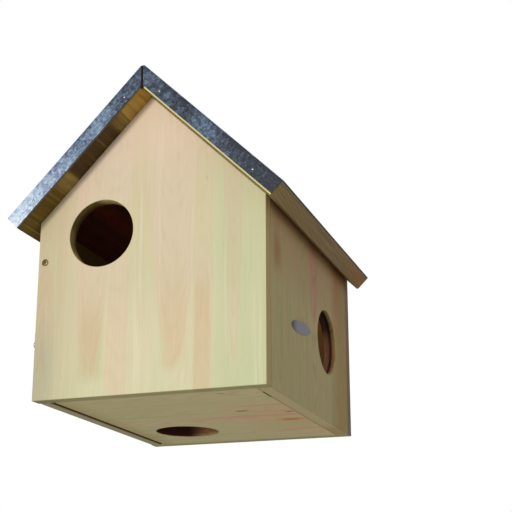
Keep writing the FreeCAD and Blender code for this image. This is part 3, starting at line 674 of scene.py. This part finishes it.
leftRoof = {
    # its front end grain is dark: painted shade under the zinc lip
    **roofPine, "seed": 3.4, "endGrain": "#4d3c20", "washes": [],
    "staves": [(-330, 60, -300, 30, 0.35), (84, 80, 60, 30, 0.35), (92, 98, -60, 30, 0.66),
               (104, 98, -60, 30, 0.66), (113, 130, 100, 30, -0.05), (168, 160, 0, 30, -0.08),
               (177, 178, 50, 30, 0.4), (185, 178, 50, 30, 0.45), (192, 200, 0, 30, 0.9),
               (223, 200, 0, 30, 1.0)],
}
rightRoof = {
    **roofPine, "seed": 5.4, "endGrain": "#e6dca6",
    "washes": [("#ffeecc", (2, 60, 140)), ("#f8ffee", (2, -60, -150))],
    "tones": [(0.0, "#4a3717"), (0.35, "#6e5f38"), (0.7, "#9d855a"), (1.0, "#b28c60")],
    "staves": [(-330, -190, 60, 30, 0.72), (-180, -190, 60, 30, 0.72), (-150, -130, -60, 30, 0.5),
               (-100, -70, 80, 30, 0.62), (-40, -30, 60, 30, 0.74)],
}
for hand, side, board in (("left", -1, leftRoof), ("right", 1, rightRoof)):
    # turned so that X runs along the slope and Z stands off the board
    ridgeAcross = -side * ridgeUnder * math.sqrt(0.5)
    roofBoard = {
        **board, "turn": (0, side * math.radians(-45), 0), "axes": (0, 2, 1), "grain": (0, 1, 0),
        "inward": (-side * math.sqrt(0.5), 0, -math.sqrt(0.5)), "span": (-330, 330), "length": (-162, 162),
        "face": roofTop,
        # painted shade: dark at the ridge, and a dark line under the sheet's edge where its shadow falls
        "washes": [*board["washes"],
                   ("#3a2c20", (0, ridgeAcross + 3 * side, ridgeAcross + side), (2, -160, -162)),
                   ("#3a342c", (1, roofTop - 0.8, roofTop - 0.4))],
        # at the house's faces
        "divided": [((0, frontFace, 0), (0, 1, 0)), ((0, backFace, 0), (0, 1, 0)),
                    ((halfWidth, 0, 0), (1, 0, 0)), ((-halfWidth, 0, 0), (1, 0, 0))],
    }
    makeBoard(hand + "_roof_board", roofBoard, roofOutline(side),
              pineMaterial("brown stained pine, " + hand, roofBoard), "pine_roof")
print("roof boards made")


# Hot-dip galvanised sheet: zinc crystals 2 to 5 mm across that each catch the light in their own way, under a
# dull blue-grey film. Folded over the ridge, its front and back edges turned down as lips.
zincRoof = {
    "thickness": 0.8, "lip": 17, "bendRadius": 1.5, "cutTop": 0.6, "cutFoot": 1.6,
    "lipSteps": 4, "foldSteps": 4, "slopeSteps": 9, "columnWidth": 9,
    # how far the lips and the slopes wave, over what size, and where a slope's waves fade out
    "lipWave": 0.28, "topWave": 0.45, "waveSize": (22, 40), "calmLips": 30, "calmEnds": 20,
    "waveSpan": (12, 140),
    "crystal": 3.0, "grain": 1.3, "blotch": 22, "crystalBend": 2.2,      # sizes of the mottling
    "mottleStrengths": (0.54, 0.22, 0.18), "darken": 0.62,
    # painted reflection: how bright a lip is painted across, from the left eave over the ridge to the right
    # eave
    "paintedSheen": [(-152, 1.02), (-118, 0.84), (-96, 0.62), (-62, 0.55), (-48, 0.58), (-25, 0.42), (12, 0.33),
             (50, 0.21), (72, 0.4), (100, 0.18), (150, 0.04)],
    "dull": 0.06, "slopeFilm": 0.88,
}
# where its slopes would meet
zincPeak = ridgeUnder + (roofPine["thickness"] + zincRoof["thickness"]) * math.sqrt(2)


def zincMaterial():
    material, add = newMaterial("galvanised zinc")
    inMm = placeInMm(add)
    rough = add("TexNoise", {"Vector": inMm, "Scale": 0.35, "Detail": 3.0}).outputs["Color"]
    bent = add("VectorMath", {0: rough, 1: (zincRoof["crystalBend"],) * 3, 2: inMm}, operation="MULTIPLY_ADD")
    crystal, small = (add("TexVoronoi", {"Vector": bent, "Scale": 1 / zincRoof[size]})
                      for size in ("crystal", "grain"))
    coarse, fine = (add("SeparateColor", {0: cells.outputs["Color"]}).outputs
                    for cells in (crystal, small))
    blotch = add("TexNoise", {"Vector": inMm, "Scale": 1 / zincRoof["blotch"], "Detail": 3.0,
                              "Roughness": 0.6})
    across, _, up = add("SeparateXYZ", {0: inMm}).outputs
    # painted reflection: each lip painted brighter or darker across it, where the lamp's reflection falls
    low, high = zincRoof["paintedSheen"][0][0], zincRoof["paintedSheen"][-1][0]
    share = add("MapRange", {"Value": across, "From Min": low, "From Max": high})
    paintedSheen = add("ValToRGB", {"Fac": share},
               stops=[((x - low) / (high - low), (bright,) * 3) for x, bright in zincRoof["paintedSheen"]])
    # a lip is duller just below its fold, a painted shade, and the slopes have a film of their own
    below = add("Math", {0: add("Math", {0: across}, operation="ABSOLUTE"), 1: up}, operation="ADD")
    below = add("Math", {0: zincPeak, 1: below}, operation="SUBTRACT")
    dull = add("MapRange", {"Value": below, "From Min": 10.0, "From Max": 2.0,
                            "To Max": zincRoof["dull"]}, interpolation_type="SMOOTHSTEP")
    paintedSheen = add("Math", {0: paintedSheen, 1: dull}, operation="SUBTRACT")
    paintedSheen = add("MapRange", {"Value": below, "From Min": 0.4, "From Max": 1.6,
                            "To Min": zincRoof["slopeFilm"], "To Max": paintedSheen})
    tone = add("Math", {0: paintedSheen, 1: zincRoof["darken"]}, operation="SUBTRACT")
    for layer, strength in zip((blotch, coarse[0], fine[0]), zincRoof["mottleStrengths"]):
        tone = add("Math", {0: layer, 1: strength, 2: tone}, operation="MULTIPLY_ADD")
    colour = add("ValToRGB", {"Fac": tone},
                 stops=[(0.0, "#23272f"), (0.2, "#434d5b"), (0.4, "#697b8f"), (0.6, "#98a9b9"),
                        (0.8, "#c4d1da"), (1.0, "#d4e0e8")])
    # a few crystals are bluer or warmer than the rest
    tint = add("ValToRGB", {"Fac": coarse[1]}, stops=[(0.1, "#f6effc"), (0.5, "#ffffff"), (0.9, "#e8f5f4")])
    colour = add("Mix", {0: 1.0, 6: colour, 7: tint}, data_type="RGBA", blend_type="MULTIPLY").outputs[2]
    roughness = add("MapRange", {"Value": fine[1], "To Min": 0.42, "To Max": 0.62})
    # each crystal leans its own way
    lean = add("Bump", {"Height": crystal.outputs["Distance"], "Strength": 0.2, "Distance": 0.4 * mm})
    return finishMaterial(material, {"Base Color": colour, "Metallic": 0.5, "Roughness": roughness,
                                     "Normal": lean})


def makeRoofSheet():
    # swept from the left eave over the ridge to the right eave, its lips cut apart at the ridge
    low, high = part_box("roof_sheet")
    front, back, flat = low.y / mm, high.y / mm, high.z / mm
    thick, bend, foot = (zincRoof[key] for key in ("thickness", "bendRadius", "lip"))
    flatHalf = zincPeak - flat
    eave = (halfWidth + roofPine["overhang"]) * math.sqrt(2) + roofPine["thickness"] + thick
    columns = int(eave / zincRoof["columnWidth"])
    waveSize, waveSpan = zincRoof["waveSize"], zincRoof["waveSpan"]
    calmLips, calmEnds = zincRoof["calmLips"], zincRoof["calmEnds"]

    # rows from the front lip's foot over its fold and the slope to the back lip's foot: Y, and how deep below
    # the slope, of the outer face and of the inner one
    lipSteps, foldSteps, slopeSteps = (zincRoof[key] for key in ("lipSteps", "foldSteps", "slopeSteps"))
    half = []
    for step in range(lipSteps):
        deep = foot - (foot - bend) * step / lipSteps
        half.append([(0, deep), (thick, deep)])
    for step in range(foldSteps + 1):
        turn = math.radians(90 * step / foldSteps)
        half.append([(bend - radius * math.cos(turn), bend - radius * math.sin(turn))
                     for radius in (bend, bend - thick)])
    rows = [[(front + far, deep) for far, deep in pair] for pair in half]
    for step in range(1, slopeSteps):
        y = front + bend + (back - front - 2 * bend) * step / slopeSteps
        rows.append([(y, 0), (y, thick)])
    rows += [[(back - far, deep) for far, deep in pair] for pair in reversed(half)]
    last = len(rows) - 1

    def place(side, face, row, column):
        # column 0 is at the ridge's cut, 1 where the slope begins and the last one at the eave
        y, deep = rows[row][face]
        cutX = zincRoof["cutTop"] + (zincRoof["cutFoot"] - zincRoof["cutTop"]) * deep / foot
        corner = max(flatHalf - deep * (math.sqrt(2) - 1), cutX)
        if column == 0:
            return Vector((side * cutX, y, min(flat - deep, zincPeak - math.sqrt(2) * deep - cutX))) * mm
        top = deep + math.sqrt(2) * corner
        slope = top + (eave - top) * (column - 1) / (columns - 1)
        x, z = (slope - deep) * math.sqrt(0.5), zincPeak - (slope + deep) * math.sqrt(0.5)
        rough = noise.noise(Vector((side * x / waveSize[0], y / waveSize[1], 3.7)))
        if deep > bend:
            # a lip stands out a little, more towards its free edge
            y += math.copysign(zincRoof["lipWave"] * (deep - bend) / foot * (0.5 + rough), y)
        fade = min(1.0, (y - front - bend) / calmLips, (back - bend - y) / calmLips,
                   (x - waveSpan[0]) / calmEnds, (waveSpan[1] - x) / calmEnds)
        lift = zincRoof["topWave"] * max(0.0, fade) * max(0.0, 0.5 + 0.9 * rough) * math.sqrt(0.5)
        return Vector((side * (x + lift), y, z + lift)) * mm

    def build(work):
        spots = {(side, face, row, column): work.verts.new(place(side, face, row, column)) for side in (-1, 1)
                 for face in (0, 1) for row in range(last + 1) for column in range(columns + 1)}

        def fill(*keys):
            work.faces.new([spots[key] for key in keys])

        for side in (-1, 1):
            for row in range(last):
                for column in range(columns):
                    for face in (0, 1):
                        fill((side, face, row, column), (side, face, row + 1, column),
                             (side, face, row + 1, column + 1), (side, face, row, column + 1))
                # the edges at the eave and at the cut
                atCut = row < lipSteps or row >= last - lipSteps
                for column in (columns, 0) if atCut else (columns,):
                    fill((side, 0, row, column), (side, 0, row + 1, column), (side, 1, row + 1, column),
                         (side, 1, row, column))
            for row in (0, last):
                for column in range(columns):
                    fill((side, 0, row, column), (side, 0, row, column + 1), (side, 1, row, column + 1),
                         (side, 1, row, column))
        # the strip over the ridge
        for row in range(lipSteps, last - lipSteps):
            for face in (0, 1):
                fill((-1, face, row, 0), (-1, face, row + 1, 0), (1, face, row + 1, 0), (1, face, row, 0))
        for row in (lipSteps, last - lipSteps):
            fill((-1, 0, row, 0), (1, 0, row, 0), (1, 1, row, 0), (-1, 1, row, 0))

    return shade(newPiece("roof_sheet_zinc", toMesh("zinc", build)), 35)


finish(makeRoofSheet(), zincMaterial(), "root", "zinc_sheet", "roof_sheet")
print("zinc roof made")


def metalMaterial(name, dark, light, roughness, metallic, grain):
    # bare or plated steel, mottled at a grain given in mm
    material, add = newMaterial(name)
    mottle = add("TexNoise", {"Vector": placeInMm(add), "Scale": 1 / grain, "Detail": 4.0, "Roughness": 0.65})
    colour = add("ValToRGB", {"Fac": mottle}, stops=[(0.3, dark), (0.7, light)])
    gloss = add("MapRange", {"Value": mottle, "From Min": 0.3, "From Max": 0.7,
                             "To Min": roughness + 0.1, "To Max": roughness - 0.06})
    bump = add("Bump", {"Height": mottle, "Strength": 0.3, "Distance": 0.05 * mm})
    return finishMaterial(material, {"Base Color": colour, "Metallic": metallic, "Roughness": gloss,
                                     "Normal": bump})


# Drawn wire: cool grey, smoothed by the die.
nailSteel = metalMaterial("drawn nail steel", "#565b60", "#a4aaae", 0.34, 1.0, 0.8)
# Passivated in chromate: a dull dark gold.
darkScrew = metalMaterial("yellow passivated screw steel", "#4d4022", "#94814f", 0.45, 0.85, 0.7)
# Electroplated: pale and even, with a soft shine.
platedSteel = metalMaterial("zinc plated steel", "#a9aaa8", "#cfd1d0", 0.34, 1.0, 2.5)
# Filler knifed over the punched nails: matt, a shade off the pine around it.
filler = metalMaterial("wood filler", "#cfc79a", "#d9d2a8", 0.7, 0.0, 1.2)


def fastenerTree():
    # stands a copy of the fastener on each point of the mesh, faced, spun and leaned a little by a fixed seed
    tree = bpy.data.node_groups.new("Fasteners", "GeometryNodeTree")
    tree.interface.new_socket("Geometry", in_out="OUTPUT", socket_type="NodeSocketGeometry")
    for name, kind, value in (("Places", "Geometry", None), ("Fastener", "Object", None),
                              ("Facing", "Rotation", None), ("Lean", "Float", 2.0), ("Seed", "Int", 1),
                              ("Material", "Material", None)):
        socket = tree.interface.new_socket(name, in_out="INPUT", socket_type="NodeSocket" + kind)
        if value is not None:
            socket.default_value = value
    add = partial(addNode, tree)
    given = add("NodeGroupInput").outputs
    fastener = add("GeometryNodeObjectInfo", {"Object": given["Fastener"]}).outputs["Geometry"]
    degrees = add("Math", {0: given["Lean"], 1: math.radians(1)}, operation="MULTIPLY")
    most = add("CombineXYZ", {0: degrees, 1: degrees, 2: math.pi})
    least = add("VectorMath", {0: most, 3: -1.0}, operation="SCALE")
    spun = add("FunctionNodeRandomValue", {0: least, 1: most, "Seed": given["Seed"]},
               data_type="FLOAT_VECTOR")
    turn = add("FunctionNodeEulerToRotation", {0: spun})
    faced = add("FunctionNodeRotateRotation", {0: given["Facing"], 1: turn}, rotation_space="LOCAL")
    stood = add("GeometryNodeInstanceOnPoints", {"Points": given["Places"], "Instance": fastener,
                                                 "Rotation": faced})
    real = add("GeometryNodeRealizeInstances", {0: stood})
    coated = add("GeometryNodeSetMaterial", {"Geometry": real, "Material": given["Material"]})
    add("NodeGroupOutput", {0: coated})
    return tree


fasteners = fastenerTree()
towardsFront, towardsBack = (math.pi / 2, 0, 0), (-math.pi / 2, 0, 0)
towardsLeft = (0, -math.pi / 2, 0)


def standFasteners(name, template, places, facing, material, body, slot, *nodes, lean=0.0, seed=1):
    points = bpy.data.meshes.new(name)
    points.from_pydata([Vector(p) * mm for p in places], [], [])
    piece = newPiece(name, points)
    modifier = piece.modifiers.new("fasteners", "NODES")
    modifier.node_group = fasteners
    sockets = {item.name: item.identifier for item in fasteners.interface.items_tree}
    for key, value in (("Fastener", template), ("Facing", facing), ("Lean", lean), ("Seed", seed),
                       ("Material", material)):
        modifier[sockets[key]] = value
    piece = settle(piece)
    smooth(piece.data, 35)
    attach(piece, body, slot, *nodes)


# Turned fasteners stand on the surface at height 0, head up. Profiles run from the tip to the head's middle.
clout = {"head": 1.4, "rise": 0.64, "shank": 0.75, "length": 17}         # flat-headed sheet nail
lostHead = {"head": 1.15, "sunk": 0.5, "shank": 0.8, "length": 35.4}    # punched below the face
pivotScrew = {"head": 2.8, "sink": 2.2, "shank": 1.72, "length": 34, "cross": 3.6, "deep": 1.3}
panScrew = {"head": 3.3, "rise": 2.0, "shank": 1.47, "length": 22, "cross": 3.2, "deep": 1.2}
hangerScrew = {"head": 2.95, "sink": 1.6, "shank": 1.47, "length": 10, "cross": 3.0, "deep": 1.0}
stopping = {"radius": 1.2, "depth": 0.45, "sunk": 0.01}    # filler over a lost head


def shankProfile(size, tip, foot):
    # the tip's length, and the height where the shank meets the head
    return [(0, -size["length"]), (size["shank"], -size["length"] + tip), (size["shank"], foot)]


head = clout["head"]
cloutProfile = [*shankProfile(clout, 1.8, 0), (head - 0.15, 0), (head, 0.15), (head - 0.05, 0.4),
                (head - 0.35, 0.54), (head * 0.5, 0.6), (0, clout["rise"] - 0.01)]
head, face = lostHead["head"], -lostHead["sunk"]
lostHeadProfile = [*shankProfile(lostHead, 2, -2.2), (head, -1.6), (head, face - 0.15), (head - 0.15, face),
                   (0, face - 0.1)]
radius, foot, face = stopping["radius"], -stopping["depth"], -stopping["sunk"]
stoppingProfile = [(0, foot), (radius, foot), (radius + 0.04, -0.04), (radius - 0.3, face), (0, face)]
head = pivotScrew["head"]
pivotProfile = [*shankProfile(pivotScrew, 3.5, -pivotScrew["sink"]), (head, -0.35), (head, -0.15),
                (head - 0.2, -0.05), (0, -0.02)]
head = panScrew["head"]
panProfile = [*shankProfile(panScrew, 3, 0), (head - 0.1, 0), (head, 0.25), (head - 0.1, 1.0),
              (head - 0.6, 1.6), (head * 0.5, 1.9), (0, panScrew["rise"] - 0.01)]
head = hangerScrew["head"]
hangerProfile = [*shankProfile(hangerScrew, 2.5, -hangerScrew["sink"]), (head, -0.25), (head, -0.12),
                 (head - 0.15, -0.04), (0, -0.02)]


def crossRecess(size, depth, top):
    # the cutters for a cross recess: two tapered blades, size across at the mouth
    half, narrow, thick = size / 2, size / 5, size / 9
    section = [(-half, 0.2), (-narrow, -depth), (narrow, -depth), (half, 0.2)]
    blades = []
    for turn in (0, 90):
        blade = toMesh("blade", prism(section, -thick, thick, alongY))
        blade.transform(Matrix.Translation((0, 0, top * mm)) @ Matrix.Rotation(math.radians(turn), 4, "Z"))
        blades.append(newPiece("blade", blade))
    return blades


def screwTemplate(name, profile, screw):
    piece = newPiece(name, turned(name, profile, 40))
    return cut(piece, crossRecess(screw["cross"], screw["deep"], screw.get("rise", 0)))


templates = {
    "clout": newPiece("clout", turned("clout", cloutProfile, 20)),
    "lostHead": newPiece("lost_head", turned("lost_head", lostHeadProfile, 16)),
    "stopping": newPiece("stopping", turned("stopping", stoppingProfile, 20)),
    "pivot": screwTemplate("pivot", pivotProfile, pivotScrew),
    "pan": screwTemplate("pan", panProfile, panScrew),
    "hanger": screwTemplate("hanger", hangerProfile, hangerScrew),
}

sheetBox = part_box("roof_sheet")
sheetNails = {"fromRidge": (20, 162), "rise": 8}      # down the slope, and above the roof boards' underside
sheetPlaces = [(side * (slope + sheetNails["rise"]) * math.sqrt(0.5),
                ridgeUnder + (sheetNails["rise"] - slope) * math.sqrt(0.5))
               for side in (-1, 1) for slope in sheetNails["fromRidge"]]
panelNails = {"wallX": 118, "wallZ": (26, 95, 164), "floorX": (-80.4, 2.05, 84.5), "floorZ": 7}
panelPlaces = [(panelNails["wallX"], z) for z in panelNails["wallZ"]]
panelPlaces += [(x, panelNails["floorZ"]) for x in panelNails["floorX"]]
# the panel's face, the sheet's lip, the way a fastener faces, and the seeds for sheet nails and pivot screws
ends = {"front": (frontFace, sheetBox[0].y / mm, towardsFront, 4, 2),
        "back": (backFace, sheetBox[1].y / mm, towardsBack, 9, 6)}
for end, (_, lip, facing, seed, _) in ends.items():
    standFasteners(end + "_sheet_clouts", templates["clout"], [(x, lip, z) for x, z in sheetPlaces], facing,
                   nailSteel, "root", "nail_steel", end + "_sheet_nails", lean=2.0, seed=seed)
for end, (face, _, facing, *_) in ends.items():
    spots = [(x, face, z) for x, z in panelPlaces]
    standFasteners(end + "_lost_heads", templates["lostHead"], spots, facing, nailSteel, "root", "nail_steel",
                   end + "_panel_nails")
    standFasteners(end + "_stoppings", templates["stopping"], spots, facing, filler, "root", "pine_panel",
                   seed=3)
for end, (face, _, facing, _, seed) in ends.items():
    standFasteners(end + "_pivot", templates["pivot"], [(pivot[0], face, pivot[1])], facing, darkScrew,
                   "door", "dark_screw", end + "_pivot_screw", seed=seed)

low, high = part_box("turn_button_screw")
buttonAxis = ((low.y + high.y) / 2 / mm, (low.z + high.z) / 2 / mm)
headFoot = low.x / mm + panScrew["rise"]
standFasteners("button_screw", templates["pan"], [(headFoot, *buttonAxis)], towardsLeft, platedSteel, "root",
               "dark_screw", "turn_button_screw", seed=5)

# its keyhole: a wide round opening for a hook's head, below a slot as wide as its neck
hangerPlate = {"length": 58, "width": 20, "thickness": 2, "clip": 1.2, "easing": 0.35, "corner": 1.5,
               "wide": 5, "slot": 2.6, "rise": 12, "hole": 3.0, "spacing": 46, "centre": 260}
screwPlaces = (-hangerPlate["spacing"] / 2, hangerPlate["spacing"] / 2)
spots = [(0, backFace, hangerPlate["centre"] + z) for z in screwPlaces]
standFasteners("hanger_fixings", templates["hanger"], spots, towardsBack, platedSteel, "root", "plated_steel",
               "hanger_screws", seed=7)
for template in templates.values():
    bpy.data.objects.remove(template)
print("nails and screws stood")


def flatPart(name, node, outline, holes, facing, size):
    # a plate cut from an outline with holes, as a filled curve with rounded edges, at its CAD box's middle
    curve = bpy.data.curves.new(name, "CURVE")
    curve.dimensions = "2D"
    curve.fill_mode = "BOTH"
    for ring in [outline, *holes]:
        spline = curve.splines.new("POLY")
        spline.points.add(len(ring) - 1)
        for point, (a, b) in zip(spline.points, ring):
            point.co = (a * mm, b * mm, 0, 1)
        spline.use_cyclic_u = True
    curve.extrude = (size["thickness"] / 2 - size["easing"]) * mm
    curve.bevel_depth = size["easing"] * mm
    curve.bevel_resolution = 2
    curve.offset = -size["easing"] * mm
    piece = settle(newPiece(name, curve))
    low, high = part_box(node)
    piece.data.transform(Matrix.Translation((low + high) / 2) @ facing)
    rework(piece.data, closeSeams)
    return shade(piece, 30)


def arcPoints(centre, radius, start, end, count):
    angles = [math.radians(start + (end - start) * i / count) for i in range(count + 1)]
    return [(centre[0] + radius * math.cos(t), centre[1] + radius * math.sin(t)) for t in angles]


# From a plate's own axes, across, up and out of its face, to X, Y and Z.
facingRight = Matrix(((0, 0, 1, 0), (1, 0, 0, 0), (0, 1, 0, 0), (0, 0, 0, 1)))
facingBack = Matrix(((-1, 0, 0, 0), (0, 0, 1, 0), (0, 1, 0, 0), (0, 0, 0, 1)))
facingLeft = Matrix(((0, 0, -1, 0), (-1, 0, 0, 0), (0, 1, 0, 0), (0, 0, 0, 1)))

ovalPlate = {"length": 66, "width": 14, "thickness": 0.6, "easing": 0.2, "sides": 72,
             "tilt": 7,                        # its back end is raised
             "lines": (1, 30, 0.35),           # how large its rolled lines are through, along and across it
             # its front end is darkened: painted shadow
             "fade": (-58, -36)}               # where its dark front end turns pale


def plateMaterial():
    # anodised aluminium, rolled: fine lines along its length and a soft satin sheen, its front end darkened
    # by a painted shadow
    material, add = newMaterial("anodised aluminium")
    place = add("TexCoord").outputs["Object"]
    lines = add("Mapping", {"Vector": place, "Scale": [1 / mm / size for size in ovalPlate["lines"]]})
    brushed = add("TexNoise", {"Vector": lines, "Scale": 1.0, "Detail": 3.0})
    along = add("SeparateXYZ", {0: place}).outputs[1]
    dark, clear = ovalPlate["fade"]
    fade = add("MapRange", {"Value": along, "From Min": dark * mm, "From Max": clear * mm})
    tone = add("Math", {0: brushed, 1: 0.35, 2: fade}, operation="MULTIPLY_ADD")
    colour = add("ValToRGB", {"Fac": tone},
                 stops=[(0.0, "#474b50"), (0.5, "#8b8a8e"), (1.2 / 1.35, "#a6a2a5")])
    return finishMaterial(material, {"Base Color": colour, "Metallic": 0.9, "Roughness": 0.42})


angles = [2 * math.pi * i / ovalPlate["sides"] for i in range(ovalPlate["sides"])]
oval = [(ovalPlate["length"] / 2 * math.cos(t), ovalPlate["width"] / 2 * math.sin(t)) for t in angles]
tilted = Matrix.Rotation(math.radians(ovalPlate["tilt"]), 4, "Z")
plate = flatPart("oval_badge_plate", "oval_plate", oval, [], facingRight @ tilted, ovalPlate)
finish(plate, plateMaterial(), "root", "oval_plate", "oval_plate")


def plateOutline(size, steps):
    # clipped corners at its foot, rounded ones at its head
    half, top, clip, corner = size["width"] / 2, size["length"] / 2, size["clip"], size["corner"]
    return [(-half + clip, -top), (half - clip, -top), (half, -top + clip),
            *arcPoints((half - corner, top - corner), corner, 0, 90, steps),
            *arcPoints((-half + corner, top - corner), corner, 90, 180, steps), (-half, -top + clip)]


turnButton = {"length": 17, "width": 8, "thickness": 1.5, "clip": 1.2, "easing": 0.3, "corner": 1.6,
              "hole": 1.6}
low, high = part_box("turn_button")
boreHeight = buttonAxis[1] - (low.z + high.z) / 2 / mm
buttonHole = arcPoints((0, boreHeight), turnButton["hole"], 0, 345, 23)
button = flatPart("turn_button_plate", "turn_button", plateOutline(turnButton, 5), [buttonHole], facingLeft,
                  turnButton)
finish(button, platedSteel, "button", "plated_steel", "turn_button")

rise = hangerPlate["rise"] / 2
meet = math.degrees(math.acos(hangerPlate["slot"] / hangerPlate["wide"]))
keyhole = arcPoints((0, rise), hangerPlate["slot"], 0, 180, 16)
keyhole += arcPoints((0, -rise), hangerPlate["wide"], 180 - meet, 360 + meet, 40)
screwHoles = [arcPoints((0, place), hangerPlate["hole"], 0, 350, 35) for place in screwPlaces]
hangerPiece = flatPart("hanger_keyhole_plate", "hanger_plate", plateOutline(hangerPlate, 4),
                       [keyhole, *screwHoles], facingBack, hangerPlate)
finish(hangerPiece, platedSteel, "root", "plated_steel", "hanger_plate")

# hidden under the zinc, the roof nails stay as they are
for node in ("left_roof_nails", "right_roof_nails"):
    frame["nodes"][node].data.materials.clear()
    frame["nodes"][node].data.materials.append(nailSteel)
print("plates made")


studio = {"floorDrop": 600, "floorHalf": 6000, "ambient": 0.40}
# The key lamp is a little left of the front and low. Distances and sizes of lamps and camera are in metres.
keyLamp = {"power": 56, "azimuth": 13, "elevation": 7, "distance": 3.2, "aim": (0, 0, 0.16), "size": 0.8}
innerLamp = {"power": 0.051, "place": (0.05, 0.03, 0.15), "size": 0.03, "colour": "#ffb088"}
photoCamera = {"place": (0.46078, -1.12597, -0.22453), "yaw": 0.37941, "pitch": 0.28032, "roll": 0.00962,
               "sensor": 36, "lens": 80.399, "shift": (0.0898, 0.0977)}


def stageMaterial():
    # matt painted studio floor
    material, add = newMaterial("pale matt floor")
    place = add("TexCoord").outputs["Object"]
    cloud = add("TexNoise", {"Vector": place, "Scale": 3.0, "Detail": 2.0})
    colour = add("ValToRGB", {"Fac": cloud}, stops=[(0.3, "#e4e2de"), (0.7, "#e9e7e3")])
    return finishMaterial(material, {"Base Color": colour, "Roughness": 0.8})


def makeStage():
    reach, drop = studio["floorHalf"] * mm, studio["floorDrop"] * mm
    corners = ((-reach, -reach), (reach, -reach), (reach, reach), (-reach, reach))
    mesh = bpy.data.meshes.new("studio_floor")
    mesh.from_pydata([(x, y, -drop) for x, y in corners], [], [(0, 1, 2, 3)])
    ground = newPiece("studio_floor", mesh)
    mesh.materials.append(stageMaterial())


def makeWorld():
    # soft light from all around, seen by the camera as white
    world = bpy.data.worlds.new("studio")
    bpy.context.scene.world = world
    world.use_nodes = True
    world.node_tree.nodes.clear()
    add = partial(addNode, world.node_tree)
    seen = add("LightPath").outputs["Is Camera Ray"]
    soft = add("Background", {"Color": toLinear("#f6f8ff"), "Strength": studio["ambient"]})
    white = add("Background", {"Color": (1, 1, 1, 1), "Strength": 1.0})
    both = add("MixShader", {0: seen, 1: soft, 2: white})
    add("OutputWorld", {"Surface": both})


def makeLights():
    azimuth, elevation = math.radians(keyLamp["azimuth"]), math.radians(keyLamp["elevation"])
    towards = Vector((-math.sin(azimuth) * math.cos(elevation), -math.cos(azimuth) * math.cos(elevation),
                      math.sin(elevation)))
    lamp = bpy.data.lights.new("key", "AREA")
    lamp.shape = "SQUARE"
    lamp.size = keyLamp["size"]
    lamp.energy = keyLamp["power"]
    key = newPiece("key", lamp)
    key.location = towards * keyLamp["distance"] + Vector(keyLamp["aim"])
    key.rotation_euler = towards.to_track_quat("Z", "Y").to_euler()
    key.visible_camera = False
    # a faint warm lamp inside, so that the entrances don't show plain black
    glow = bpy.data.lights.new("inner", "POINT")
    glow.shadow_soft_size = innerLamp["size"]
    glow.energy = innerLamp["power"]
    glow.color = toLinear(innerLamp["colour"])[:3]
    inner = newPiece("inner", glow)
    inner.location = innerLamp["place"]
    inner.visible_camera = False


def makeCamera():
    yaw, pitch, roll = (photoCamera[key] for key in ("yaw", "pitch", "roll"))
    ahead = Vector((-math.sin(yaw) * math.cos(pitch), math.cos(yaw) * math.cos(pitch), math.sin(pitch)))
    levelRight = Vector((math.cos(yaw), math.sin(yaw), 0))
    levelUp = levelRight.cross(ahead)
    right = levelRight * math.cos(roll) + levelUp * math.sin(roll)
    up = levelUp * math.cos(roll) - levelRight * math.sin(roll)
    lens = bpy.data.cameras.new("photo_camera")
    lens.sensor_width = photoCamera["sensor"]
    lens.lens = photoCamera["lens"]
    lens.shift_x, lens.shift_y = photoCamera["shift"]
    camera = newPiece("photo_camera", lens)
    turn = Matrix((right, up, -ahead)).transposed().to_4x4()
    camera.matrix_world = Matrix.Translation(photoCamera["place"]) @ turn
    bpy.context.scene.camera = camera


makeStage()
makeWorld()
makeLights()
makeCamera()
bpy.context.scene.view_settings.view_transform = "Standard"
print("floor, light and camera set")
